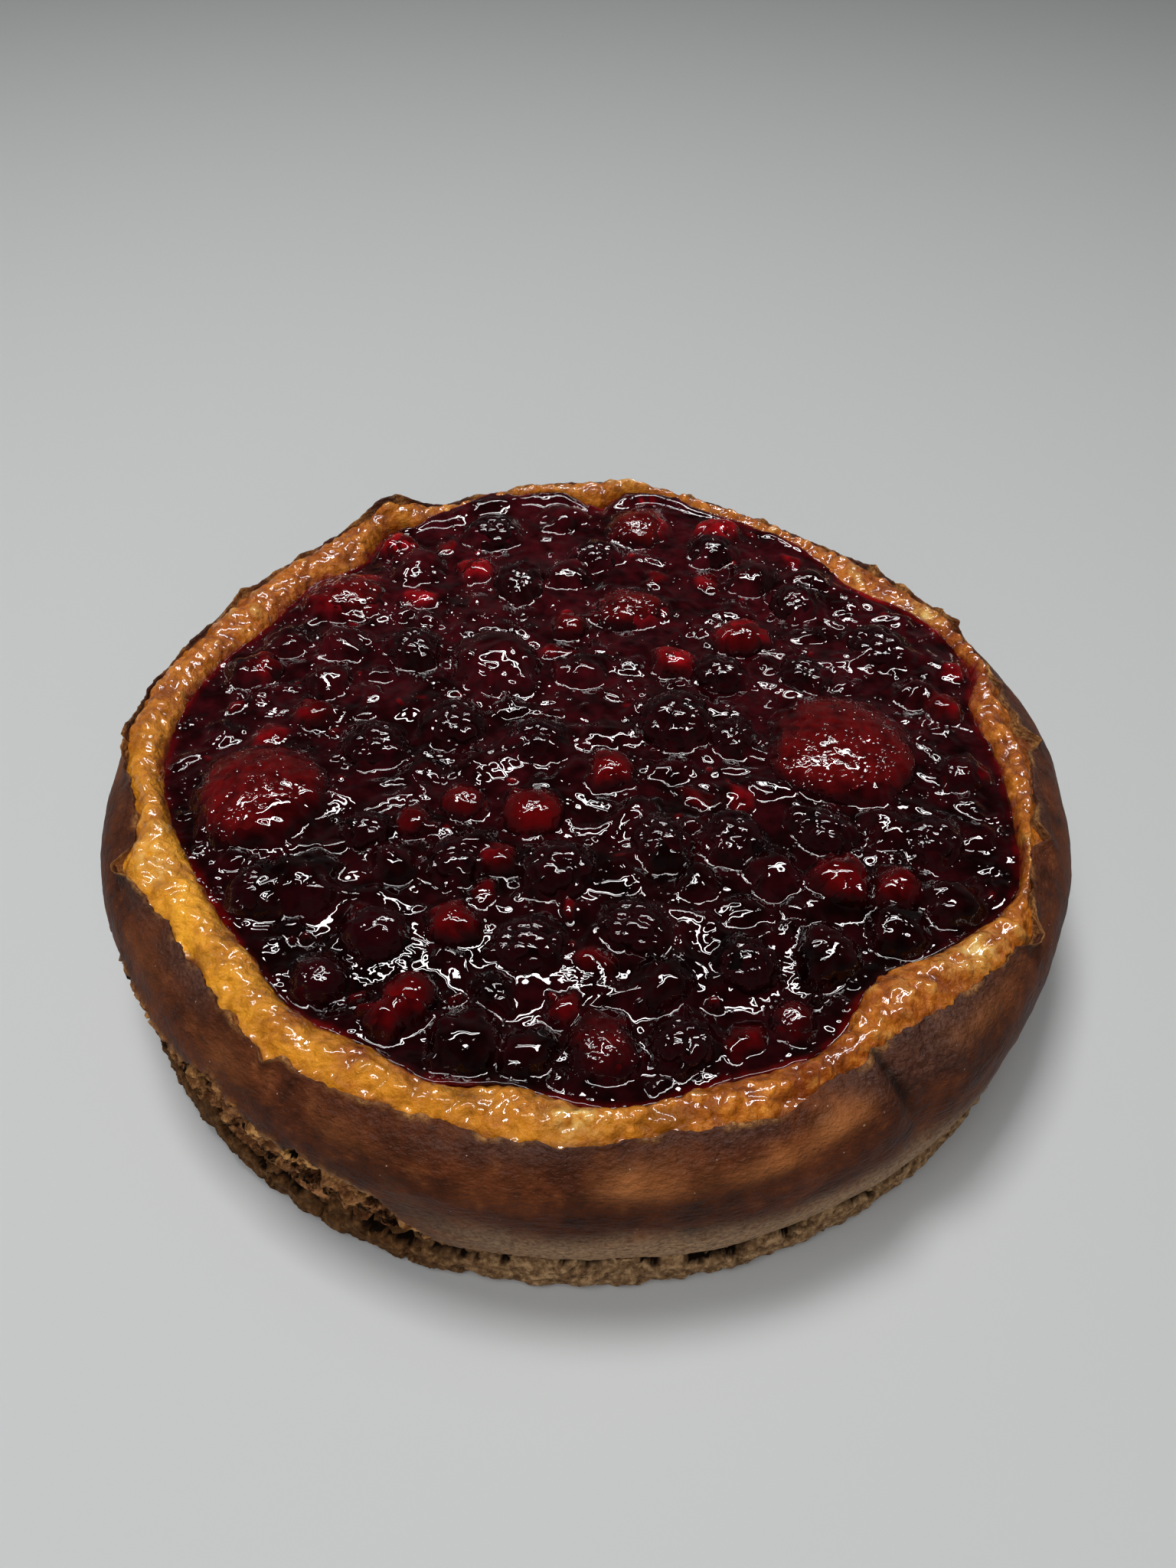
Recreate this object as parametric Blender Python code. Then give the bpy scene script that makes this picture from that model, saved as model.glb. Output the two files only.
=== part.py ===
"""Round baked cheesecake on a biscuit crumb base, with a sunken top full of glazed berries.

World frame in metres, +Z up, origin at the centre of the flat underside. -Y is the front.
Tables hold degrees, counted from +X towards +Y, and millimetres.
"""

import math
import random

import bmesh
import bpy
import numpy as np
from mathutils import Matrix, Vector

MM = 0.001
GAP = 0.35

SEGMENTS = 96
BASE_HEIGHT = 14.0
RECESS_FLOOR = 40.0
RECESS_LEAN = 1.2
TOPPING_LEVEL = 52.3
TOPPING_TILT = 0.025
FRUIT_FOOT = RECESS_FLOOR + 1.5

# Side of the biscuit base, from the table up: radius and height.
BASE_SIDE = ((126.4, 0.0), (127.8, 4.5), (127.7, 9.5), (125.8, BASE_HEIGHT))
BASE_ROUGHNESS = 0.6

# Side of the filling: radius, and height as a share of the way from the base to the rim's crest.
SKIN_SIDE = (
    (127.4, 0.0), (129.0, 0.14), (130.2, 0.31), (130.4, 0.41), (130.3, 0.54), (129.6, 0.67),
    (127.6, 0.79), (124.2, 0.88),
)

# Height of the golden rim's crest round the cake.
CREST = (
    (0, 55.5), (25, 55.5), (45, 54.5), (60, 55.0), (72, 57.5), (88, 60.5), (104, 58.5),
    (114, 57.0), (124, 59.5), (135, 58.5), (155, 57.0), (180, 56.5), (205, 55.0), (235, 54.0),
    (270, 53.5), (300, 53.5), (330, 54.5),
)

# Radius where the dark skin of the side gives way to the golden rim.
SKIN_EDGE = (
    (10, 118.5), (24, 122.0), (60, 122.5), (90, 123.5), (124, 122.5), (160, 121.5), (183, 124.0),
    (197, 118.5), (206, 122.5), (212, 119.0), (240, 121.0), (252, 119.0), (266, 120.8),
    (278, 118.8), (290, 119.3), (301, 115.8), (316, 117.3), (330, 122.0), (338, 118.2), (355, 119.0),
)

# Radius of the topping's wavy outline.
TOPPING_EDGE = (
    (0, 109.5), (9, 108.0), (17, 115.0), (24, 116.0), (33, 113.0), (41, 107.5), (50, 112.0),
    (62, 115.0), (76, 117.0), (84, 118.0), (90, 112.5), (98, 118.0), (110, 115.0), (118, 112.5),
    (125, 116.0), (133, 107.0), (141, 109.0), (156, 107.0), (168, 111.0), (187, 112.5),
    (207, 107.0), (224, 106.0), (235, 108.5), (244, 107.0), (253, 109.0), (262, 106.0),
    (273, 110.0), (286, 107.5), (300, 108.0), (312, 101.0), (322, 107.5), (334, 115.5), (346, 112.5),
)

# The torn stretch at the left front, where the skin hangs over bare crumb.
TEAR_START = 194.0
TEAR_END = 257.0
TEAR_RADIUS = 127.9
TEAR_ROUGHNESS = 0.7

# The pleat at the right front, and the curled flap at the back left.
PLEAT_ANGLE = 306.0
PLEAT_WIDTH = 3.5
PLEAT_DEPTH = 3.0
FLAP_ANGLE = 123.0
FLAP_WIDTH = 5.0
FLAP_RISE = 4.6

# Golden rim: how far its outer and inner sides stay under the crest, and its blisters.
OUTER_DROP = 2.4
INNER_DROP = 1.0
BLISTER = 0.4

# Whole fruit in nodes of their own: name, x, y, length, width, rise over the topping, turn.
STRAWBERRIES = (
    ("strawberry_left", -85, -23, 37, 34, 6.5, 250),
    ("strawberry_right", 68, 0, 43, 40, 7.0, 95),
    ("strawberry_back_left", -75, 61, 27, 23, 5.0, 200),
    ("strawberry_back", 15, 101, 24, 20, 5.5, 60),
    ("strawberry_middle", 12, 58, 27, 20, 4.5, 10),
    ("strawberry_front", 5, -95, 19, 16, 3.0, 100),
)
CHERRIES = (
    ("cherry_red_large", -14, -27, 18, 18, 5.5, 0),
    ("cherry_red_small", -32, -24, 13, 13, 4.0, 0),
    ("cherry_red_front", 47, -87, 11, 11, 3.0, 0),
    ("cherry_dark_left", -49, -65, 17, 17, 4.0, 0),
    ("cherry_dark_front", -60, -79, 14, 14, 3.5, 40),
    ("cherry_dark_right", 99, -9, 15, 15, 4.0, 0),
)
BRAMBLES = (
    ("bramble_left", -58, -3, 20, 18, 5.0, 20),
    ("bramble_centre_left", -37, 6, 21, 19, 5.0, 100),
    ("bramble_centre", -14, 0, 19, 19, 4.5, 45),
    ("bramble_back", -33, 96, 21, 18, 5.5, 10),
    ("bramble_back_right", 85, 43, 23, 20, 5.0, 120),
    ("bramble_front_left", -13, -68, 19, 17, 4.0, 0),
    ("bramble_front", 12, -62, 20, 16, 4.0, 170),
)

# Small fruit that is one piece with the topping: kind, x, y and width.
SMALL_FRUIT = (
    ("red", -93, 26, 10), ("dark", -103, 26, 11), ("dark", -74, 22, 12), ("red", -75, 8, 10),
    ("red", -67, 94, 11), ("dark", -55, 77, 16), ("red", -37, 76, 9), ("bramble", -23, 70, 16),
    ("dark", -8, 75, 13), ("dark", -72, 39, 13), ("bramble", -52, 38, 14), ("dark", -27, 32, 22),
    ("dark", -40, -14, 12), ("dark", -11, 113, 14), ("bramble", 38, 89, 15), ("dark", 50, 75, 14),
    ("bramble", 62, 63, 14), ("dark", 71, 78, 12), ("red", 42, 104, 11), ("red", 24, 34, 10),
    ("bramble", 37, 29, 15), ("bramble", 61, 29, 13), ("red", 44, 45, 14), ("red", 106, 18, 9),
    ("bramble", 24, 9, 20), ("red", 6, -11, 12), ("bramble", 39, 3, 13), ("bramble", -56, -34, 12),
    ("red", -44, -31, 9), ("dark", -47, -44, 12), ("bramble", -32, -43, 14), ("red", -21, -42, 8),
    ("bramble", -7, -45, 17), ("dark", -69, -52, 17), ("red", -39, -83, 11), ("red", -45, -92, 9),
    ("dark", -27, -98, 14), ("bramble", -7, -81, 15), ("red", -31, -63, 11), ("dark", 13, -27, 11),
    ("bramble", 19, -36, 15), ("dark", 27, -48, 11), ("bramble", 37, -33, 15), ("dark", 47, -45, 13),
    ("red", 62, -47, 13), ("red", 76, -49, 11), ("bramble", 87, -33, 15), ("dark", 92, -55, 14),
    ("dark", 78, -64, 14), ("dark", 57, -69, 14), ("bramble", 38, -72, 13), ("dark", 19, -78, 12),
    ("bramble", 22, -94, 13), ("bramble", -93, -50, 12), ("dark", -12, -97, 11), ("dark", 93, 22, 12),
    ("dark", -2, 30, 14), ("red", -5, 50, 10), ("dark", -97, 43, 12), ("bramble", 3, 88, 14),
    ("dark", 76, -28, 13), ("bramble", 60, -31, 14), ("dark", -27, -29, 11), ("bramble", -83, -56, 13),
)
FRUIT_RISE = {"red": 0.33, "dark": 0.28, "bramble": 0.29}

# The table's widths are what shows over the jelly, which hides the widest part.
SUNKEN_WIDTH = 1.15

DRUPELET_RELIEF = 0.05
STRAWBERRY_TAPER = 0.28
FRUIT_FLATNESS = 0.9

# Small fruit is pushed clear of the whole fruit and of the rim.
WIDEST = 1.05
CLEARANCE = 0.6
LUMP_ROOM = 0.9
SMALL_SIDES = 8
EDGE_ROUNDING = 1.8
SMALLEST_EDGE = 0.01
EDGE_CLEARANCE = 2.2
PUSHES = 12


def around(table, degrees):
    """Values of a smooth closed curve through (angle, value) pairs, at the given angles."""
    angles = np.array([pair[0] for pair in table], dtype=float)
    values = np.array([pair[1] for pair in table], dtype=float)
    angles = np.concatenate([angles[-2:] - 360.0, angles, angles[:3] + 360.0])
    values = np.concatenate([values[-2:], values, values[:3]])
    slopes = np.gradient(values, angles)
    degrees = np.mod(degrees, 360.0)
    left = np.clip(np.searchsorted(angles, degrees, side="right") - 1, 1, len(angles) - 2)
    span = angles[left + 1] - angles[left]
    t = (degrees - angles[left]) / span
    rise = values[left] * (1 + 2 * t) * (1 - t) ** 2 + values[left + 1] * t * t * (3 - 2 * t)
    return rise + span * (slopes[left] * t * (1 - t) ** 2 - slopes[left + 1] * t * t * (1 - t))


def smoothstep(low, high, value):
    t = np.clip((value - low) / (high - low), 0.0, 1.0)
    return t * t * (3.0 - 2.0 * t)


def topping_level(y):
    """Height of the jelly between the fruit: it stands a little higher towards the back."""
    return TOPPING_LEVEL + TOPPING_TILT * y


def unevenness(degrees):
    """Slow swells of the baked side, in millimetres."""
    turn = np.radians(degrees)
    return 0.35 * np.sin(3 * turn + 0.6) + 0.25 * np.sin(7 * turn + 2.1) + 0.2 * np.sin(13 * turn)


def tear(degrees):
    """How far the crumb lies bare at an angle, from 0 to 1."""
    opening = smoothstep(TEAR_START, TEAR_START + 10.0, degrees)
    return opening * (1.0 - smoothstep(TEAR_END - 6.0, TEAR_END, degrees))


def new_material(name, colour, roughness, coat=0.0):
    material = bpy.data.materials.new(name)
    material.use_nodes = True
    shader = material.node_tree.nodes["Principled BSDF"]
    shader.inputs["Base Color"].default_value = (*colour, 1.0)
    shader.inputs["Roughness"].default_value = roughness
    shader.inputs["Metallic"].default_value = 0.0
    shader.inputs["Coat Weight"].default_value = coat
    return material


def new_object(name, mesh, material=None):
    thing = bpy.data.objects.new(name, mesh)
    bpy.context.scene.collection.objects.link(thing)
    if material:
        mesh.materials.append(material)
        mesh.shade_smooth()
        mesh.set_sharp_from_angle(angle=math.radians(40))
    return thing


def stack_of_rings(name, rings, flat_ends=False):
    """Closed mesh through rings of points, in order, with a face or a fan over both end rings."""
    shape = bmesh.new()
    loops = [[shape.verts.new(Vector(point) * MM) for point in points] for points in rings]
    count = len(loops[0])
    for lower, upper in zip(loops, loops[1:]):
        for i in range(count):
            j = (i + 1) % count
            shape.faces.new((lower[i], lower[j], upper[j]))
            shape.faces.new((lower[i], upper[j], upper[i]))
    for loop in (loops[0], loops[-1]):
        if flat_ends:
            shape.faces.new(loop)
            continue
        middle = shape.verts.new(sum((vertex.co for vertex in loop), Vector()) / count)
        for i in range(count):
            shape.faces.new((loop[i], middle, loop[(i + 1) % count]))
    bmesh.ops.recalc_face_normals(shape, faces=shape.faces)
    mesh = bpy.data.meshes.new(name)
    shape.to_mesh(mesh)
    shape.free()
    return mesh


def ring(radii, heights, degrees):
    turn = np.radians(degrees)
    heights = np.broadcast_to(heights, turn.shape)
    return np.column_stack([radii * np.cos(turn), radii * np.sin(turn), heights])


def build_biscuit_base(degrees, material):
    chance = np.random.RandomState(11)
    rings = []
    for radius, height in BASE_SIDE:
        crumb = chance.uniform(-BASE_ROUGHNESS, BASE_ROUGHNESS, len(degrees))
        rings.append(ring(radius + 0.5 * unevenness(degrees) + crumb, height, degrees))
    new_object("biscuit_base", stack_of_rings("biscuit_base", rings), material)


def build_filling(degrees, material):
    """Filling with its overhanging skin, pleat, golden rim, and the recess for the topping."""
    chance = np.random.RandomState(12)
    crest = around(CREST, degrees)
    skin_edge = around(SKIN_EDGE, degrees)
    topping_edge = around(TOPPING_EDGE, degrees)
    foot = BASE_HEIGHT + GAP
    pleat = PLEAT_DEPTH * np.exp(-(((degrees - PLEAT_ANGLE) / PLEAT_WIDTH) ** 2))
    flap = FLAP_RISE * np.exp(-(((degrees - FLAP_ANGLE) / FLAP_WIDTH) ** 2))
    rings = []
    for radius, share in SKIN_SIDE:
        bare = tear(degrees) * (1.0 - smoothstep(0.45, 0.62, share))
        crumb = bare * chance.uniform(-TEAR_ROUGHNESS, TEAR_ROUGHNESS, len(degrees))
        folded = pleat * smoothstep(0.2, 0.7, share)
        lost = max(radius - TEAR_RADIUS, 0.0) * bare
        radii = radius + unevenness(degrees) - lost + crumb - folded
        rings.append(ring(radii, foot + share * (crest - foot), degrees))
    width = skin_edge - topping_edge
    level = topping_level(topping_edge * np.sin(np.radians(degrees)))
    knobs = chance.uniform(-BLISTER, BLISTER, len(degrees))
    rings.append(ring(skin_edge, crest - OUTER_DROP + 1.6 * flap, degrees))
    rings.append(ring(skin_edge - 0.42 * width, crest + knobs + 0.5 * flap, degrees))
    rings.append(ring(topping_edge + 0.22 * width, crest - INNER_DROP - knobs, degrees))
    rings.append(ring(topping_edge, level - 0.6, degrees))
    rings.append(ring(topping_edge - RECESS_LEAN, RECESS_FLOOR, degrees))
    new_object("cheesecake", stack_of_rings("cheesecake", rings), material)


def bramble(name, spot, size, turn):
    """Closed lumpy fruit in place: every other corner of a divided sphere stands proud."""
    shape = bmesh.new()
    bmesh.ops.create_icosphere(shape, subdivisions=2, radius=1.0)
    proud = set(shape.verts)
    bmesh.ops.subdivide_edges(shape, edges=shape.edges[:], cuts=1, use_grid_fill=True)
    for vertex in shape.verts:
        reach = 1.0 + DRUPELET_RELIEF if vertex in proud else 1.0 - DRUPELET_RELIEF
        place = 0.5 * reach * vertex.co.normalized()
        vertex.co = Vector((place.x * size[0], place.y * size[1], place.z * size[2]))
    return placed(name, shape, spot, turn)


def round_fruit(name, spot, size, turn, taper=0.0, sides=12, grow=0.0):
    """Closed smooth fruit in place, narrower towards its tip where it has a taper."""
    shape = bmesh.new()
    bmesh.ops.create_uvsphere(shape, u_segments=sides, v_segments=sides // 2 + 1, radius=1.0)
    half = [0.5 * side + grow for side in size]
    for vertex in shape.verts:
        narrow = 1.0 - taper * vertex.co.x
        vertex.co.x *= half[0]
        vertex.co.y *= half[1] * narrow
        vertex.co.z *= half[2]
    return placed(name, shape, spot, turn)


def placed(name, shape, spot, turn):
    bmesh.ops.triangulate(shape, faces=shape.faces[:])
    bmesh.ops.rotate(shape, verts=shape.verts, matrix=Matrix.Rotation(math.radians(turn), 3, "Z"))
    bmesh.ops.translate(shape, verts=shape.verts, vec=Vector(spot))
    bmesh.ops.scale(shape, verts=shape.verts, vec=Vector((MM, MM, MM)))
    mesh = bpy.data.meshes.new(name)
    shape.to_mesh(mesh)
    shape.free()
    return mesh


def fruit_place(x, y, length, width, rise):
    """Centre and size of a fruit that rests near the recess floor and rises over the jelly."""
    top = topping_level(y) + rise
    height = min(FRUIT_FLATNESS * width, top - FRUIT_FOOT)
    return (x, y, top - 0.5 * height), (length, width, height)


def whole_fruit():
    """Every fruit with a node of its own: name, shape function, centre, size, turn and options."""
    for name, x, y, length, width, rise, turn in STRAWBERRIES:
        spot, size = fruit_place(x, y, length, width, rise)
        yield name, round_fruit, spot, size, turn, {"taper": STRAWBERRY_TAPER, "sides": 14}
    for name, x, y, length, width, rise, turn in CHERRIES:
        spot, size = fruit_place(x, y, length, width, rise)
        yield name, round_fruit, spot, size, turn, {"sides": 12}
    for name, x, y, length, width, rise, turn in BRAMBLES:
        spot, size = fruit_place(x, y, length, width, rise)
        yield name, bramble, spot, size, turn, {}


def reach(fruit, heading):
    """Distance from a whole fruit's centre to its side, looking from above, along a heading."""
    size, turn = fruit[3], fruit[4]
    angle = heading - math.radians(turn)
    length, width = size[0], size[1]
    return 0.5 * WIDEST * length * width / math.hypot(width * math.cos(angle), length * math.sin(angle))


def clear_place(x, y, half, fruit):
    """Where a small fruit ends up once whole fruit and the rim have pushed it clear, or None."""
    for _ in range(PUSHES):
        moved = False
        for other in fruit:
            spot = other[2]
            apart = math.hypot(x - spot[0], y - spot[1])
            heading = math.atan2(y - spot[1], x - spot[0])
            short = reach(other, heading) + half + CLEARANCE - apart
            if short > 0.0:
                x += short * math.cos(heading)
                y += short * math.sin(heading)
                moved = True
        heading = math.atan2(y, x)
        short = math.hypot(x, y) + half + EDGE_CLEARANCE - around(TOPPING_EDGE, math.degrees(heading))
        if short > 0.0:
            x -= short * math.cos(heading)
            y -= short * math.sin(heading)
            moved = True
        if not moved:
            return x, y
    return None


def topping_core(degrees):
    """Jelly between the fruit: one sloping flat with a rounded edge that fits the recess."""
    edge = around(TOPPING_EDGE, degrees) - GAP
    inner = edge - EDGE_ROUNDING
    sine = np.sin(np.radians(degrees))
    level = topping_level(edge * sine)
    rings = [
        ring(edge - RECESS_LEAN, RECESS_FLOOR + GAP, degrees),
        ring(edge - 0.1, level - 0.8, degrees),
        ring(inner, topping_level(inner * sine), degrees),
    ]
    return stack_of_rings("fruit_topping", rings, flat_ends=True)


def apply_boolean(thing, operation, collection):
    """Cut or join a collection's objects, for good, and remove them."""
    cut = thing.modifiers.new("cut", "BOOLEAN")
    cut.operation = operation
    cut.operand_type = "COLLECTION"
    cut.collection = collection
    bpy.context.view_layer.update()
    evaluated = thing.evaluated_get(bpy.context.evaluated_depsgraph_get())
    mesh = bpy.data.meshes.new_from_object(evaluated)
    thing.modifiers.remove(cut)
    thing.data = mesh
    for operand in list(collection.objects):
        bpy.data.objects.remove(operand, do_unlink=True)
    bpy.data.collections.remove(collection)


def gather(name, meshes):
    collection = bpy.data.collections.new(name)
    bpy.context.scene.collection.children.link(collection)
    for mesh in meshes:
        collection.objects.link(bpy.data.objects.new(mesh.name, mesh))
    return collection


def keep_largest_piece(mesh):
    """Drop loose scraps and sealed hollows that the cuts leave."""
    shape = bmesh.new()
    shape.from_mesh(mesh)
    bmesh.ops.dissolve_degenerate(shape, dist=SMALLEST_EDGE * MM, edges=shape.edges[:])
    bmesh.ops.triangulate(shape, faces=shape.faces[:])
    unseen = set(shape.verts)
    pieces = []
    while unseen:
        front = [unseen.pop()]
        piece = set(front)
        while front:
            for edge in front.pop().link_edges:
                for vertex in edge.verts:
                    if vertex in unseen:
                        unseen.discard(vertex)
                        piece.add(vertex)
                        front.append(vertex)
        pieces.append(piece)
    pieces.sort(key=len)
    scraps = [vertex for piece in pieces[:-1] for vertex in piece]
    bmesh.ops.delete(shape, geom=scraps, context="VERTS")
    shape.to_mesh(mesh)
    shape.free()


def pocket(name, shape, spot, size, turn, options):
    """Room for a whole fruit in the jelly. A lumpy fruit gets a plain pocket, wide enough for it."""
    if shape is bramble:
        return round_fruit(name + "_pocket", spot, size, turn, grow=GAP + LUMP_ROOM)
    return shape(name + "_pocket", spot, size, turn, grow=GAP, **options)


def build_topping(degrees, material):
    """Jelly with a pocket round each whole fruit, and the small fruit fused on."""
    topping = new_object("fruit_topping", topping_core(degrees))
    fruit = list(whole_fruit())
    apply_boolean(topping, "DIFFERENCE", gather("pockets", [pocket(*one) for one in fruit]))
    chance = random.Random(13)
    pieces = []
    for number, (kind, x, y, width) in enumerate(SMALL_FRUIT):
        width *= SUNKEN_WIDTH
        length = width * chance.uniform(1.0, 1.12)
        turn = chance.uniform(0.0, 180.0)
        place = clear_place(x, y, 0.5 * length, fruit)
        if place:
            spot, size = fruit_place(*place, length, width, FRUIT_RISE[kind] * width)
            pieces.append(round_fruit(f"{kind}_{number}", spot, size, turn, sides=SMALL_SIDES))
    apply_boolean(topping, "UNION", gather("small_fruit", pieces))
    keep_largest_piece(topping.data)
    topping.data.materials.clear()
    topping.data.materials.append(material)
    topping.data.shade_smooth()
    topping.data.set_sharp_from_angle(angle=math.radians(40))


def main():
    for thing in list(bpy.data.objects):
        bpy.data.objects.remove(thing, do_unlink=True)
    degrees = np.arange(SEGMENTS) * 360.0 / SEGMENTS
    build_biscuit_base(degrees, new_material("biscuit crumb", (0.16, 0.075, 0.03), 0.9))
    build_filling(degrees, new_material("baked crust", (0.30, 0.11, 0.03), 0.5))
    build_topping(degrees, new_material("berry jelly", (0.035, 0.003, 0.006), 0.1, coat=0.6))
    fruit = {
        "strawberry": new_material("strawberry", (0.20, 0.006, 0.012), 0.2, coat=0.6),
        "cherry": new_material("cherry", (0.17, 0.004, 0.010), 0.1, coat=0.6),
        "bramble": new_material("bramble", (0.020, 0.002, 0.006), 0.15, coat=0.6),
    }
    for name, shape, spot, size, turn, options in whole_fruit():
        new_object(name, shape(name, spot, size, turn, **options), fruit[name.split("_")[0]])


main()
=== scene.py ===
import math
import random

import bmesh
import bpy
import numpy as np
from mathutils import Matrix, Vector


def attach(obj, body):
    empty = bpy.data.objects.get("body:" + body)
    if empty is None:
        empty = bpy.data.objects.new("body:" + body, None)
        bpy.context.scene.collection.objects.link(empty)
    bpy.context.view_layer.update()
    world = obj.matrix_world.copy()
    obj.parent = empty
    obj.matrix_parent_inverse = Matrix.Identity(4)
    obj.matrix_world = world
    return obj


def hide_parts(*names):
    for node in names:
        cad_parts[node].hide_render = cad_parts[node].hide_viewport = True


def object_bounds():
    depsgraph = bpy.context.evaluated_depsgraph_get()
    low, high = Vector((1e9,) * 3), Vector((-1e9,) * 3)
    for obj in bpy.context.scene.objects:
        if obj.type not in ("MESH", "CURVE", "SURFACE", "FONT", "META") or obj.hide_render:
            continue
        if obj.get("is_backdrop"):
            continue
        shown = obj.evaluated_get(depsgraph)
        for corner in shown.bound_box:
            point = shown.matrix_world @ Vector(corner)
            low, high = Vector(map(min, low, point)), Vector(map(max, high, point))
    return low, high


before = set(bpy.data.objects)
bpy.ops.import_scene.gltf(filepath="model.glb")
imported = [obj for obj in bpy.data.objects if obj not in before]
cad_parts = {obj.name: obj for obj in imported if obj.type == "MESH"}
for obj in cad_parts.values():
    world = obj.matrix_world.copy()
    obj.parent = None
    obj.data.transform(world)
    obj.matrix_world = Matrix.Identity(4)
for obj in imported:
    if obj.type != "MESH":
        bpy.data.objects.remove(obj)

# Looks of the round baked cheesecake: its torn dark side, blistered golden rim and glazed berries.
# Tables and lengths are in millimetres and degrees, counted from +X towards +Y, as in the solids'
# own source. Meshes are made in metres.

CAD_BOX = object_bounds()

MM = 0.001

# Sizes shared with the solids.
BASE_HEIGHT = 14.0
GAP = 0.35
FOOT = BASE_HEIGHT + GAP
RECESS_FLOOR = 40.0
TOPPING_LEVEL = 52.3
TOPPING_TILT = 0.025
FRUIT_FOOT = RECESS_FLOOR + 1.5
BASE_SIDE = ((126.4, 0.0), (127.8, 4.5), (127.7, 9.5), (125.8, BASE_HEIGHT))
SKIN_SIDE = (
    (127.4, 0.0), (129.0, 0.14), (130.2, 0.31), (130.4, 0.41), (130.3, 0.54), (129.6, 0.67),
    (127.6, 0.79), (124.2, 0.88),
)
CREST = (
    (0, 55.5), (25, 55.5), (45, 54.5), (60, 55.0), (72, 57.5), (88, 60.5), (104, 58.5),
    (114, 57.0), (124, 59.5), (135, 58.5), (155, 57.0), (180, 56.5), (205, 55.0), (235, 54.0),
    (270, 53.5), (300, 53.5), (330, 54.5),
)
SKIN_EDGE = (
    (10, 118.5), (24, 122.0), (60, 122.5), (90, 123.5), (124, 122.5), (160, 121.5), (183, 124.0),
    (197, 118.5), (206, 122.5), (212, 119.0), (240, 121.0), (252, 119.0), (266, 120.8),
    (278, 118.8), (290, 119.3), (301, 115.8), (316, 117.3), (330, 122.0), (338, 118.2), (355, 119.0),
)
TOPPING_EDGE = (
    (0, 109.5), (9, 108.0), (17, 115.0), (24, 116.0), (33, 113.0), (41, 107.5), (50, 112.0),
    (62, 115.0), (76, 117.0), (84, 118.0), (90, 112.5), (98, 118.0), (110, 115.0), (118, 112.5),
    (125, 116.0), (133, 107.0), (141, 109.0), (156, 107.0), (168, 111.0), (187, 112.5),
    (207, 107.0), (224, 106.0), (235, 108.5), (244, 107.0), (253, 109.0), (262, 106.0),
    (273, 110.0), (286, 107.5), (300, 108.0), (312, 101.0), (322, 107.5), (334, 115.5), (346, 112.5),
)
PLEAT_ANGLE = 306.0
PLEAT_WIDTH = 3.5
PLEAT_DEPTH = 3.0
FLAP_ANGLE = 123.0
FLAP_WIDTH = 5.0
FLAP_RISE = 4.6
OUTER_DROP = 2.4
INNER_DROP = 1.0

STRAWBERRIES = (
    ("strawberry_left", -85, -23, 37, 34, 6.5, 250),
    ("strawberry_right", 68, 0, 43, 40, 7.0, 95),
    ("strawberry_back_left", -75, 61, 27, 23, 5.0, 200),
    ("strawberry_back", 15, 101, 24, 20, 5.5, 60),
    ("strawberry_middle", 12, 58, 27, 20, 4.5, 10),
    ("strawberry_front", 5, -95, 19, 16, 3.0, 100),
)
CHERRIES = (
    ("cherry_red_large", -14, -27, 18, 18, 5.5, 0),
    ("cherry_red_small", -32, -24, 13, 13, 4.0, 0),
    ("cherry_red_front", 47, -87, 11, 11, 3.0, 0),
    ("cherry_dark_left", -49, -65, 17, 17, 4.0, 0),
    ("cherry_dark_front", -60, -79, 14, 14, 3.5, 40),
    ("cherry_dark_right", 99, -9, 15, 15, 4.0, 0),
)
BRAMBLES = (
    ("bramble_left", -58, -3, 20, 18, 5.0, 20),
    ("bramble_centre_left", -37, 6, 21, 19, 5.0, 100),
    ("bramble_centre", -14, 0, 19, 19, 4.5, 45),
    ("bramble_back", -33, 96, 21, 18, 5.5, 10),
    ("bramble_back_right", 85, 43, 23, 20, 5.0, 120),
    ("bramble_front_left", -13, -68, 19, 17, 4.0, 0),
    ("bramble_front", 12, -62, 20, 16, 4.0, 170),
)
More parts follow.
